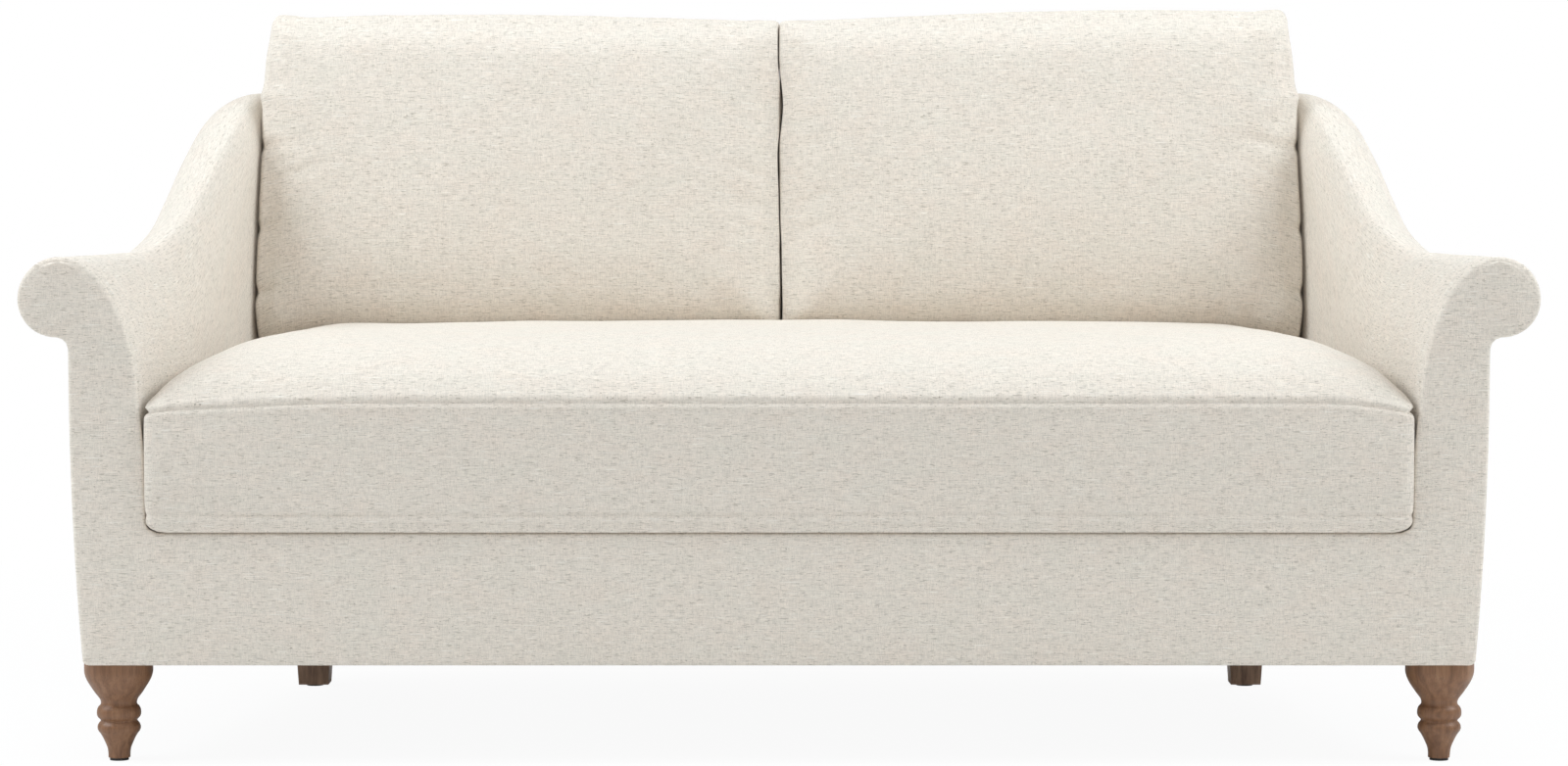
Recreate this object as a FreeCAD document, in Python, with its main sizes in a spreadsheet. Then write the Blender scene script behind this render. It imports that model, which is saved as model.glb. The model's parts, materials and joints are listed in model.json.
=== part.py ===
import FreeCAD, Part
import math
import os
import Sketcher
from FreeCAD import Vector

# A two-seat rolled-arm loveseat: a glued hardwood frame on turned front feet and square rear feet,
# sinuous springs under a padded deck, padded arms that sweep up to the back, and three loose cushions.
# Row frame: X across the seat, the front faces -Y, Z up from the floor, in millimetres.

doc = FreeCAD.newDocument("Loveseat")
sheet = doc.addObject("Spreadsheet::Sheet", "Sizes")

sizes = [
    # body, seen from the front and in plan
    ("base_depth", 862, "front panel to outside back, at the bottom"),
    ("back_rake", 58, "how far the back leans out at its top"),
    ("back_height", 859, "floor to the top of the back"),
    ("arm_height", 644, "floor to the top of the arm at the front"),
    ("inner_front", 808, "centre to the inside of an arm, front"),
    ("inner_back", 693, "centre to the inside of an arm, rear"),
    ("outer_front", 897, "centre to the outside of an arm, front"),
    ("outer_back", 790, "centre to the outside of an arm, rear"),
    ("side_lean", 15, "how far an arm's outside bows in at the bottom"),
    ("lean_height", 500, "height where that bow starts"),
    ("back_thick", 135, "thickness of the upholstered back"),
    ("deck_height", 295, "floor to the top of the seat deck"),
    # rolled arm
    ("roll_radius", 54, "roll at the front"),
    ("roll_over", 63.5, "how far the roll stands out from the arm, front"),
    ("roll_over_back", 6, "the same at the back"),
    ("shoulder_rise", 85, "height of the rounding at the back's shoulder"),
    ("shoulder_run", 78, "width of the rounding at the back's shoulder"),
    ("flare_front", 205, "height over which the inside arm curves out, front"),
    ("flare_back", 34, "the same at the back"),
    # cloth, wadding and air
    ("cloth", 2.5, "thickness of a cover"),
    ("gap", 0.3, "air between neighbouring pieces"),
    ("wadding", 12, "padding behind the front cover"),
    ("arm_foam", 20, "padding on the arms"),
    ("back_foam", 30, "padding on the back"),
    ("back_side_gap", 1.6, "air between the back's ends and the arms"),
    ("tuck", 12, "how far covers go down past the deck"),
    ("board", 3, "fibreboard behind the outside arm"),
    ("nose_radius", 9, "rounding along the deck's front edge"),
    ("nose_return", 60, "how far the front cover runs back over the deck"),
    ("dust_cloth", 1, "thickness of the dust cover"),
    # timber
    ("rail_thick", 22, "seat rails"),
    ("spring_room", 11.9, "seat rails' top to the underside of the deck pad"),
    ("post_thick", 22, "arm front post"),
    ("back_post_wide", 37, "back posts"),
    ("back_post_deep", 42, "back posts"),
    ("back_rail_thick", 28, "rails between the back posts"),
    ("back_rail_height", 70, "top rail of the back"),
    ("lower_rail_height", 50, "lower rail of the back"),
    ("lower_rail_lift", 40, "deck to the lower rail of the back"),
    ("arm_rail_wide", 26, "rail under the arm's top"),
    ("arm_rail_height", 50, "rail under the arm's top"),
    ("tack_rail_thick", 18, "tacking rail inside the arm"),
    ("tack_rail_height", 40, "tacking rail inside the arm"),
    ("tack_rail_lift", 16, "deck to the tacking rail"),
    ("stretcher_thick", 40, "centre stretcher"),
    ("stretcher_drop", 18, "springs' level to the stretcher's top"),
    ("corner_block", 100, "legs of a corner block"),
    # springs and webbing
    ("spring_count", 8, "sinuous springs"),
    ("spring_wire", 3.8, "wire of a spring"),
    ("spring_width", 46, "width of a spring's zigzag"),
    ("spring_pitch", 22, "distance between a spring's bars"),
    ("clip_wide", 16, "spring clip"),
    ("clip_long", 20, "spring clip"),
    ("clip_thick", 2, "steel of a spring clip"),
    ("tie_wire", 3, "wire across the springs"),
    ("strap_wide", 50, "back webbing"),
    ("strap_thick", 1.5, "back webbing"),
    ("strap_count", 8, "upright straps"),
    ("deck_pad", 11, "pad over the springs"),
    # feet
    ("leg_height", 130, "floor to the bottom of the body"),
    ("foot_radius", 43.6, "widest turning of a front foot"),
    ("foot_in", 843, "centre to a front foot's axis"),
    ("foot_back", 48, "front panel to a front foot's axis"),
    ("block_foot", 58, "top of a rear foot"),
    ("block_taper", 3.4, "slope of a rear foot's sides, in degrees"),
    ("block_in", 676, "centre to a rear foot's axis"),
    ("block_front", 52, "rear face to a rear foot's axis"),
    ("glide_thick", 3, "glide under a foot"),
    ("glide_radius", 12, "glide under a foot"),
    ("glide_pin", 2, "radius of a glide's pin"),
    ("glide_pin_long", 12, "length of a glide's pin"),
    ("bolt_radius", 4, "hanger bolt"),
    ("bolt_long", 70, "hanger bolt"),
    ("bolt_in_foot", 34, "how far the bolt goes into the foot"),
    ("bolt_fit", 0.05, "air round the bolt and the glide pin"),
    # seat cushion
    ("seat_thick", 166, "deck to the top seam of the seat cushion"),
    ("seat_crown", 80, "rise of the cushion's middle above the seam"),
    ("seat_edge", 57, "rise of the cushion beside the arm"),
    ("seat_edge_run", 90, "width of the rounding beside the arm"),
    ("seat_corner", 22, "rounding of the lower edge"),
    ("seat_side_gap", 3, "air between cushion and arm"),
    ("seat_proud", 7, "how far the cushion stands in front of the panel"),
    ("cushion_cloth", 11, "cover and fibre wrap of a cushion"),
    # back cushions
    ("pillow_bottom", 196, "thickness at the bottom"),
    ("pillow_top", 128, "thickness at the top"),
    ("pillow_reach", 967, "floor to the top of a back cushion"),
    ("pillow_bulge", 26, "bulge of the front face"),
    ("pillow_dome", 14, "bulge of the top"),
    ("pillow_corner", 16, "how far the corners round off"),
    ("pillow_side_gap", 5, "air between cushion and arm"),
    ("pillow_middle_gap", 3, "centre line to a back cushion"),
    # zips
    ("zip_high", 16, "zip channel"),
    ("zip_deep", 8, "zip channel"),
    ("zip_end", 90, "cover's end to the zip"),
    ("zip_tape", 1.6, "tape and teeth"),
    ("zip_lift", 34, "bottom of a cushion to its zip"),
    ("channel_lead", 1.5, "how far a zip's channel is cut past the cushion's face"),
    ("slider_long", 9, "zip slider"),
    ("slider_high", 7, "zip slider"),
    ("slider_thick", 2.6, "zip slider"),
    ("pull_long", 22, "pull tab of a zip slider"),
    ("pull_thick", 1.2, "pull tab of a zip slider"),
]
size = {}
for row, (alias, value, note) in enumerate(sizes, start=1):
    sheet.set(f"A{row}", alias)
    sheet.set(f"B{row}", str(value))
    sheet.set(f"C{row}", note)
    sheet.setAlias(f"B{row}", alias)
doc.recompute()
for alias, value, note in sizes:
    size[alias] = float(sheet.get(alias))


def of(alias):
    return size[alias]


# derived places
base = of("base_depth")
gap = of("gap")
cloth = of("cloth")
foot_top = of("leg_height")
body_rise = of("back_height") - foot_top
front_y = -(base + of("back_rake") - of("seat_proud")) / 2
frame_low = foot_top + of("dust_cloth") + gap
frame_top = of("deck_height") - cloth - gap - of("deck_pad") - of("spring_room")
liner = cloth + gap
pad_depth = liner + of("wadding") + gap
arm_liner = liner + of("arm_foam")
timber_inset = arm_liner + 2 * gap
board_inset = liner + of("board") + gap
back_share = 1 - of("back_thick") / base
rail_rear = base - cloth - gap
rail_front = rail_rear - of("back_rail_thick")
post_front = rail_rear - of("back_post_deep")
post_back_y = pad_depth + of("post_thick")

# shares of the arm's length where its sweep starts and ends, and where the roll has died away
sweep_start_share = 0.27
sweep_end_share = 0.80
roll_end_share = 0.52
roll_low_share = 0.755
arm_stations = 13
round_weight = math.sqrt(0.5)

pieces = {}


def keep(obj, name):
    """Gives the object the label that names its file."""
    obj.Label = name
    pieces[name] = obj
    return obj


def feature(name, shape):
    obj = doc.addObject("Part::Feature", "Shape_" + name)
    obj.Shape = shape
    return keep(obj, name)


def mirrored(name, source):
    obj = doc.addObject("Part::Mirroring", "Mirror_" + name)
    obj.Source = source
    obj.Base = Vector(0, 0, 0)
    obj.Normal = Vector(1, 0, 0)
    return keep(obj, name)


def both_sides(stem, shape):
    """A right-hand piece and its mirror image."""
    right = feature(stem + "_right", shape)
    mirrored(stem + "_left", right)


def ease(t):
    """0 to 1 with flat ends: 3t^2 - 2t^3."""
    t = min(max(t, 0.0), 1.0)
    return t * t * (3 - 2 * t)


def mix(a, b, t):
    return a + (b - a) * t


def share(distance):
    """A distance back from the front panel, as a share of the base depth."""
    return distance / base


def lean_at(z):
    """How far the back leans out at height z."""
    return of("back_rake") * (z - foot_top) / body_rise


def at(x, z, s):
    """The point at half-width x and height z in the section at share s of the depth."""
    return Vector(x, front_y + s * (base + lean_at(z)), z)


def wall_at(y):
    """Half-width between the arms at the bottom of the body."""
    return mix(of("inner_front"), of("inner_back"), (y - front_y) / base)


def round_edge(start, corner, end):
    """A quarter of an ellipse from start to end, tangent to the lines through corner."""
    curve = Part.BezierCurve()
    curve.setPoles([start, corner, end])
    curve.setWeight(2, round_weight)
    return curve.toShape()


def bow_edge(start, corner, end):
    """A parabola from start to end, tangent to the lines through corner."""
    curve = Part.BezierCurve()
    curve.setPoles([start, corner, end])
    return curve.toShape()


def edges_along(steps):
    """Edges through steps: (point,) a line, (corner, point) a quarter round, (bow, corner, point) a bow."""
    here = steps[0][-1]
    edges = []
    for step in steps[1:]:
        if len(step) == 1:
            edges.append(Part.makeLine(here, step[0]))
        elif len(step) == 2:
            edges.append(round_edge(here, step[0], step[1]))
        else:
            edges.append(bow_edge(here, step[1], step[2]))
        here = step[-1]
    return edges


def outline(steps):
    """A closed wire along the steps, with a last line back to the start where they leave a gap."""
    edges = edges_along(steps)
    first, last = steps[0][-1], steps[-1][-1]
    if last.distanceToPoint(first) > gap / 10:
        edges.append(Part.makeLine(last, first))
    return Part.Wire(edges)


def loft(wires):
    solid = Part.makeLoft(wires, True, True)
    if solid.Volume < 0:
        solid.reverse()
    return solid


def arm_section(s):
    """The sizes of the arm's outline at share s of the depth."""
    sweep = ease((s - sweep_start_share) / (sweep_end_share - sweep_start_share))
    fade = ease(s / roll_end_share)
    inner = mix(of("inner_front"), of("inner_back"), s)
    outer = mix(of("outer_front"), of("outer_back"), s)
    over = mix(of("roll_over"), of("roll_over_back"), fade)
    top = mix(of("arm_height"), of("back_height"), sweep)
    return {
        "inner": inner,
        "outer": outer,
        "top": top,
        "tip": outer + over,
        "ridge": outer + over - mix(of("roll_radius"), of("shoulder_run"), sweep),
        "roll": top - mix(of("roll_radius"), of("shoulder_rise"), sweep),
        "bend": top - mix(of("flare_front"), of("flare_back"), sweep),
        "low": roll_low_share * over,
        "notch": (1 - roll_low_share) * over,
    }


def arm_top(s, inset, z_low, whole):
    """Points up the inside of the arm and over its roll; whole adds the roll's underside."""
    a = arm_section(s)
    wall, tip, top = a["inner"] + inset, a["tip"] - inset, a["top"] - inset
    steps = [
        (at(wall, z_low, s),),
        (at(wall, a["bend"], s),),
        (at(wall, top, s), at(a["ridge"], top, s)),
        (at(tip, top, s), at(tip, a["roll"], s)),
    ]
    if whole:
        under = a["roll"] - a["low"] + inset
        side = a["outer"] - inset
        steps += [
            (at(tip, under, s), at(a["tip"] - a["low"], under, s)),
            (at(side, under, s), at(side, a["roll"] - a["low"] - a["notch"], s)),
        ]
    return steps


def backwards(steps):
    """The same path from its end to its start."""
    out = [(steps[-1][-1],)]
    for i in range(len(steps) - 1, 0, -1):
        before = steps[i - 1][-1]
        out.append(steps[i][:-1] + (before,))
    return out


def arm_band(s, near, far, z_low, whole):
    """A closed section between two insets."""
    return outline(arm_top(s, near, z_low, whole) + backwards(arm_top(s, far, z_low, whole)))


# the arm's inside cover and foam stop at the back, and only their top runs on over the shoulder
foam_share = share(pad_depth)
tuck_share = back_share + share(of("tuck"))
step_share = share(cloth)
arm_low = of("deck_height") - of("tuck")


def stations(first, last):
    """The same shares of the depth for every piece of the arm, between its own ends."""
    spacing = 1 / (arm_stations - 1)
    steps = [foam_share, tuck_share]
    even = [i * spacing for i in range(arm_stations)]
    apart = [s for s in even if min(abs(s - t) for t in steps) > spacing / 4]
    near = step_share / 2
    inside = [s for s in sorted(apart + steps) if first + near < s < last - near]
    return [first] + inside + [last]




def arm_shell(near, far, first, last, whole):
    """Two lengths that share their section at the tuck, where the low edge steps up to the shoulder."""
    deep, high = [], []
    for s in stations(first, last):
        if s <= tuck_share:
            deep.append(arm_band(s, near, far, arm_low, whole))
        if s >= tuck_share:
            high.append(arm_band(s, near, far, arm_section(s)["bend"] - of("cloth"), whole))
    return loft(deep).fuse(loft(high))


cover_front = share(liner)
cover_rear = 1 - share(liner)
both_sides("inside_arm_cover", arm_shell(0, cloth, cover_front, cover_rear, True))
both_sides("arm_foam", arm_shell(liner, arm_liner, share(pad_depth), cover_rear, False))


def side_x(s, z, inset):
    """The arm's outside at height z: under its lean height it bows in like a parabola."""
    below = max(of("lean_height") - z, 0) / (of("lean_height") - foot_top)
    return mix(of("outer_front"), of("outer_back"), s) - inset - of("side_lean") * below ** 2


def bow_top(s):
    """Where the bow starts: at its own height, or just under the roll where that is lower."""
    return min(of("lean_height"), side_top(s, of("nose_radius")))


def side_bow(s, start, end, inset, place):
    """The step down or up the arm's outside from height start to height end."""
    drop = of("lean_height") - foot_top
    slope = 2 * of("side_lean") * max(of("lean_height") - start, 0) / drop ** 2
    middle = (start + end) / 2
    corner = side_x(s, start, inset) + slope * (middle - start)
    return ("bow", place(corner, middle), place(side_x(s, end, inset), end))


def side_top(s, drop):
    a = arm_section(s)
    return a["roll"] - a["low"] - a["notch"] - drop


def side_panel(near, far, first, last, low, drop):
    """A thin panel down the arm's outside between two insets."""
    wires = []
    for s in stations(first, last):
        high = side_top(s, drop)

        def place(x, z):
            return at(x, z, s)

        bend = bow_top(s)
        wires.append(
            outline(
                [
                    (place(side_x(s, low, near), low),),
                    side_bow(s, low, bend, near, place),
                    (place(side_x(s, high, near), high),),
                    (place(side_x(s, high, far), high),),
                    (place(side_x(s, bend, far), bend),),
                    side_bow(s, bend, low, far, place),
                ]
            )
        )
    return loft(wires)


both_sides("outside_arm_cover", side_panel(0, cloth, cover_front, cover_rear, foot_top, gap))
both_sides(
    "outside_arm_board",
    side_panel(
        liner,
        liner + of("board"),
        share(post_back_y + gap),
        share(post_front - gap),
        frame_low,
        liner,
    ),
)


def flat(step, y):
    return tuple(p if isinstance(p, str) else Vector(p.x, y, p.z) for p in step)


def flipped(step):
    return tuple(p if isinstance(p, str) else Vector(-p.x, p.y, p.z) for p in step)


def facing(s, inset, side_inset, low):
    """The closed outline of the arm's front at share s: a scroll on a leaning stem."""
    a = arm_section(s)
    steps = arm_top(s, inset, low, True)[:-1]
    foot = a["roll"] - a["low"] - a["notch"]
    wall = a["outer"] - side_inset
    steps.append((at(wall, a["roll"] - a["low"] + inset, s), at(wall, foot, s)))
    bend = bow_top(s)
    steps.append((at(side_x(s, bend, side_inset), bend, s),))
    steps.append(side_bow(s, bend, low, side_inset, lambda x, z: at(x, z, s)))
    return outline([flat(step, front_y + s * base) for step in steps])


def facing_plate(first, last, inset, side_inset, low):
    return loft([facing(share(first), inset, side_inset, low), facing(share(last), inset, side_inset, low)])


both_sides("arm_facing_cover", facing_plate(0, cloth, 0, 0, foot_top))
both_sides("arm_facing_pad", facing_plate(liner, pad_depth - gap, liner, liner, frame_low))

# the front post is a plywood plate cut to the arm's profile
both_sides("arm_front_post", facing_plate(pad_depth, post_back_y, timber_inset, board_inset, frame_low))


def box_in(name, expressions):
    """A board: six expressions for its low corner and its length, width and height."""
    obj = doc.addObject("Part::Box", "Board_" + name)
    x, y, z, length, width, height = expressions
    obj.setExpression("Length", length)
    obj.setExpression("Width", width)
    obj.setExpression("Height", height)
    obj.setExpression("Placement.Base.x", x)
    obj.setExpression("Placement.Base.y", y)
    obj.setExpression("Placement.Base.z", z)
    return keep(obj, name)


# expressions that repeat
e_front = "(-(Sizes.base_depth + Sizes.back_rake - Sizes.seat_proud) / 2)"
e_liner = "(Sizes.cloth + Sizes.gap)"
e_pad = "(Sizes.cloth + Sizes.wadding + 2 * Sizes.gap)"
e_low = "(Sizes.leg_height + Sizes.dust_cloth + Sizes.gap)"
e_deck_pad_low = "(Sizes.deck_height - Sizes.cloth - Sizes.gap - Sizes.deck_pad)"
e_rail_high = f"({e_deck_pad_low} - Sizes.spring_room - {e_low})"
e_slope = "((Sizes.inner_front - Sizes.inner_back) / Sizes.base_depth)"
e_inner_post = f"(Sizes.inner_front - {e_slope} * ({e_pad} + Sizes.post_thick))"
e_post_in = f"({e_inner_post} + Sizes.cloth + Sizes.arm_foam + 3 * Sizes.gap)"
e_rail_front = "(Sizes.base_depth - Sizes.cloth - Sizes.gap - Sizes.back_rail_thick)"

box_in(
    "front_rail",
    (
        f"-({e_post_in} - Sizes.gap)",
        f"{e_front} + {e_pad}",
        e_low,
        f"2 * ({e_post_in} - Sizes.gap)",
        "Sizes.rail_thick",
        e_rail_high,
    ),
)
box_in(
    "front_border_pad",
    (
        f"-({e_inner_post} - Sizes.gap)",
        f"{e_front} + {e_liner}",
        e_low,
        f"2 * ({e_inner_post} - Sizes.gap)",
        "Sizes.wadding",
        e_rail_high,
    ),
)


def slab(first, last, low, high, x_near, x_far):
    """A board between two shares of the depth, leaning with the back."""
    wires = []
    for s in (first, last):
        under = [(x_near(s, low), low), (x_far(s, low), low)]
        over = [(x_far(s, high), high), (x_near(s, high), high)]
        wires.append(outline([(at(x, z, s),) for x, z in under + over]))
    return loft(wires)


def post_near(s, z):
    return mix(of("inner_front"), of("inner_back"), s) + timber_inset


both_sides(
    "side_rail",
    slab(
        share(post_back_y + gap),
        share(post_front - gap),
        frame_low,
        frame_top,
        lambda s, z: side_x(s, z, board_inset + of("rail_thick")),
        lambda s, z: side_x(s, z, board_inset),
    ),
)
both_sides(
    "arm_tack_rail",
    slab(
        share(post_back_y + gap),
        share(post_front - gap),
        of("deck_height") + of("tack_rail_lift"),
        of("deck_height") + of("tack_rail_lift") + of("tack_rail_height"),
        post_near,
        lambda s, z: post_near(s, z) + of("tack_rail_thick"),
    ),
)

# back posts stand inside the arms, under the shoulders
post_high = of("back_height") - of("flare_back") - of("tuck")
both_sides(
    "back_post",
    slab(
        share(post_front),
        share(rail_rear),
        frame_low,
        post_high,
        post_near,
        lambda s, z: post_near(s, z) + of("back_post_wide"),
    ),
)


def across(first, last, low, high, x_half):
    """A rail from side to side."""
    return slab(share(first), share(last), low, high, lambda s, z: -x_half(s, z), x_half)


def between_posts(s, z):
    return post_near(s, z) - gap


feature("rear_rail", across(rail_front, rail_rear, frame_low, frame_top, between_posts))
feature(
    "back_top_rail",
    across(rail_front, rail_rear, post_high - of("back_rail_height"), post_high, between_posts),
)
lower_rail = of("deck_height") + of("lower_rail_lift")
feature(
    "back_lower_rail",
    across(rail_front, rail_rear, lower_rail, lower_rail + of("lower_rail_height"), between_posts),
)


def upright(low, high):
    half = of("back_post_wide") / 2
    return slab(share(rail_front), share(rail_rear), low, high, lambda s, z: -half, lambda s, z: half)


# the middle post is cut in two lengths by the lower rail
feature(
    "back_centre_post",
    Part.makeCompound(
        [
            upright(frame_top + gap, lower_rail - gap),
            upright(lower_rail + of("lower_rail_height") + gap, post_high - of("back_rail_height") - gap),
        ]
    ),
)


def under_foam(s, x):
    """The height of the timber's outline under the foam at half-width x."""
    a = arm_section(s)
    ridge = a["ridge"]
    if x < ridge:
        rise = a["top"] - timber_inset - a["bend"]
        return a["bend"] + rise * math.sqrt(1 - ((ridge - x) / (ridge - a["inner"] - timber_inset)) ** 2)
    rise = a["top"] - timber_inset - a["roll"]
    return a["roll"] + rise * math.sqrt(1 - ((x - ridge) / (a["tip"] - ridge - timber_inset)) ** 2)


def arm_rail():
    """The rail under the arm's top: it follows the sweep with both top corners under the foam."""
    wide = of("arm_rail_wide")
    wires = []
    for s in stations(share(post_back_y + gap), share(post_front - gap)):
        a = arm_section(s)
        left = min(a["ridge"], a["outer"] - board_inset - gap - wide)
        right = left + wide
        high = min(under_foam(s, left), under_foam(s, right), post_high)
        low = high - of("arm_rail_height")
        corners = [(left, low), (right, low), (right, high), (left, high)]
        wires.append(outline([(at(x, z, s),) for x, z in corners]))
    return loft(wires)


both_sides("arm_top_rail", arm_rail())

# seat frame
stretcher_high = frame_top - of("stretcher_drop")
box_in(
    "centre_stretcher",
    (
        "-Sizes.stretcher_thick / 2",
        f"{e_front} + {e_pad} + Sizes.rail_thick + Sizes.gap",
        e_low,
        "Sizes.stretcher_thick",
        f"{e_rail_front} - {e_pad} - Sizes.rail_thick - 2 * Sizes.gap",
        f"{e_rail_high} - Sizes.stretcher_drop",
    ),
)

bolt_reach = of("bolt_radius") + of("bolt_fit")
bolt_low = foot_top - of("bolt_in_foot")
bolt_high = bolt_low + of("bolt_long")
front_axis = Vector(of("foot_in"), front_y + of("foot_back"), 0)
rear_axis = Vector(of("block_in"), front_y + base - of("block_front"), 0)


def prism(points, low, high):
    wire = Part.makePolygon([Vector(x, y, low) for x, y in points + points[:1]])
    return Part.Face(wire).extrude(Vector(0, 0, high - low))


def upright_rod(axis, radius, low, high):
    return Part.makeCylinder(radius, high - low, Vector(axis.x, axis.y, low))


def mirror_x(shape):
    return shape.mirror(Vector(0, 0, 0), Vector(1, 0, 0))


def with_mirror(solids):
    return Part.makeCompound(solids + [mirror_x(solid) for solid in solids])


def corner_blocks():
    """Triangular blocks glued into the corners of the seat frame, bored for the feet's bolts."""
    leg = of("corner_block")
    rail_inset = board_inset + of("rail_thick") + gap
    y_front = pad_depth + of("rail_thick") + gap
    y_rear = rail_front - gap
    x_near = side_x(share(y_front), frame_low, rail_inset)
    x_far = side_x(share(y_front + leg), frame_low, rail_inset)
    x_post = post_near(back_share, frame_low) - gap
    x_post = min(x_post, post_near(share(y_rear), frame_low) - gap)
    front = [(x_near, y_front), (x_near - leg, y_front), (x_far, y_front + leg)]
    rear = [(x_post, y_rear), (x_post - leg, y_rear), (x_post, y_rear - leg)]
    solids = []
    for points, axis in ((front, front_axis), (rear, rear_axis)):
        block = prism([(x, front_y + y) for x, y in points], frame_low, stretcher_high)
        solids.append(block.cut(upright_rod(axis, bolt_reach, frame_low - gap, bolt_high + gap)))
    return with_mirror(solids)


feature("corner_blocks", corner_blocks())
bolts = [upright_rod(axis, of("bolt_radius"), bolt_low, bolt_high) for axis in (front_axis, rear_axis)]
feature("foot_bolts", with_mirror(bolts))


# a sinuous spring: straight bars joined by half rounds, made by a loop
def spring(x, y_first, y_last, z):
    pitch = of("spring_pitch")
    half = of("spring_width") / 2
    radius = pitch / 2
    bars = int((y_last - y_first) / pitch)
    margin = (y_last - y_first - bars * pitch) / 2
    edges = []
    side = 1
    y = y_first + margin
    here = Vector(x - half, y, z)
    for i in range(bars + 1):
        end = Vector(x + side * (half - radius), y, z)
        start = Vector(x - side * (half - radius), y, z)
        edges.append(Part.makeLine(start, end))
        if i < bars:
            top = Vector(x + side * half, y + radius, z)
            far = Vector(x + side * (half - radius), y + pitch, z)
            edges.append(Part.Arc(end, top, far).toShape())
        y += pitch
        side = -side
    path = Part.Wire(edges)
    first = edges[0].Vertexes[0].Point
    section = Part.Wire([Part.makeCircle(of("spring_wire") / 2, first, Vector(1, 0, 0))])
    return path.makePipeShell([section], True, False)


spring_z = frame_top + gap + of("clip_thick") + gap + of("spring_wire") / 2
spring_first = front_y + pad_depth + of("rail_thick") / 2
spring_last = front_y + rail_front + of("back_rail_thick") / 2
spring_span = 2 * (of("inner_back") - of("corner_block"))
spring_xs = [
    -spring_span / 2 + spring_span * i / (of("spring_count") - 1)
    for i in range(int(of("spring_count")))
]
springs = [spring(x, spring_first, spring_last, spring_z) for x in spring_xs]
feature("seat_springs", Part.makeCompound(springs))


def clip(x, y):
    """A folded steel clip: a plate under the spring's end bar and one over it."""
    length, wide, thick = of("clip_long"), of("clip_wide"), of("clip_thick")
    low = frame_top + gap
    over = spring_z + of("spring_wire") / 2 + gap
    corner = Vector(x - length / 2, y - wide / 2, low)
    plate = Part.makeBox(length, wide, thick, corner)
    lid = Part.makeBox(length, wide, thick, Vector(corner.x, corner.y, over))
    return plate, lid, corner, over


def clips():
    solids = []
    for x in spring_xs:
        for y, side in ((spring_first, -1), (spring_last, 1)):
            plate, lid, corner, over = clip(x, y)
            back = corner.y if side < 0 else corner.y + of("clip_wide") - of("clip_thick")
            web_low = Vector(corner.x, back, corner.z)
            web = Part.makeBox(of("clip_long"), of("clip_thick"), over - corner.z, web_low)
            solids.append(plate.fuse([lid, web]).removeSplitter())
    return Part.makeCompound(solids)


feature("spring_clips", clips())

# two wires tie the springs together across the seat
tie_z = spring_z + of("spring_wire") / 2 + gap + of("tie_wire") / 2
tie_half = spring_span / 2 + of("spring_width") / 2
tie_shares = (1 / 3, 2 / 3)
ties = [
    Part.makeCylinder(
        of("tie_wire") / 2,
        2 * tie_half,
        Vector(-tie_half, mix(spring_first, spring_last, t), tie_z),
        Vector(1, 0, 0),
    )
    for t in tie_shares
]
feature("spring_tie_wires", Part.makeCompound(ties))


# flat tapered sheets across the body are sketched in plan and padded
def plan_sheet(name, y_front, y_rear, x_front, x_rear, low, thick, holes=()):
    body = doc.addObject("PartDesign::Body", "Body_" + name)
    plane = next(f for f in body.Origin.OriginFeatures if f.Role == "XY_Plane")
    sketch = body.newObject("Sketcher::SketchObject", "Plan_" + name)
    sketch.AttachmentSupport = [(plane, "")]
    sketch.MapMode = "FlatFace"
    corners = [(-1, "front"), (1, "front"), (1, "rear"), (-1, "rear")]
    value = {"front": (x_front, y_front), "rear": (x_rear, y_rear)}
    rough = {"front": (of("inner_front"), front_y), "rear": (of("inner_back"), -front_y)}
    points = [Vector(side * rough[end][0], rough[end][1], 0) for side, end in corners]
    for i in range(4):
        sketch.addGeometry(Part.LineSegment(points[i], points[(i + 1) % 4]), False)
    for i in range(4):
        sketch.addConstraint(Sketcher.Constraint("Coincident", i, 2, (i + 1) % 4, 1))
    for i, (side, end) in enumerate(corners):
        x_text, y_text = value[end]
        n = sketch.addConstraint(Sketcher.Constraint("DistanceX", -1, 1, i, 1, points[i].x))
        sketch.setExpression(f"Constraints[{n}]", f"{side} * ({x_text})")
        n = sketch.addConstraint(Sketcher.Constraint("DistanceY", -1, 1, i, 1, points[i].y))
        sketch.setExpression(f"Constraints[{n}]", y_text)
    for (x_text, y_text, r_text), rough_y in zip(holes, (front_y / 2, -front_y / 2)):
        for side in (1, -1):
            centre = Vector(side * of("block_in"), rough_y, 0)
            g = sketch.addGeometry(Part.Circle(centre, Vector(0, 0, 1), of("bolt_radius")), False)
            n = sketch.addConstraint(Sketcher.Constraint("Radius", g, of("bolt_radius")))
            sketch.setExpression(f"Constraints[{n}]", r_text)
            n = sketch.addConstraint(Sketcher.Constraint("DistanceX", -1, 1, g, 3, centre.x))
            sketch.setExpression(f"Constraints[{n}]", f"{side} * ({x_text})")
            n = sketch.addConstraint(Sketcher.Constraint("DistanceY", -1, 1, g, 3, centre.y))
            sketch.setExpression(f"Constraints[{n}]", y_text)
    sketch.setExpression("AttachmentOffset.Base.z", low)
    pad = body.newObject("PartDesign::Pad", "Pad_" + name)
    pad.Profile = sketch
    pad.setExpression("Length", thick)
    body.Tip = pad
    sketch.Visibility = False
    return keep(body, name)


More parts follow.
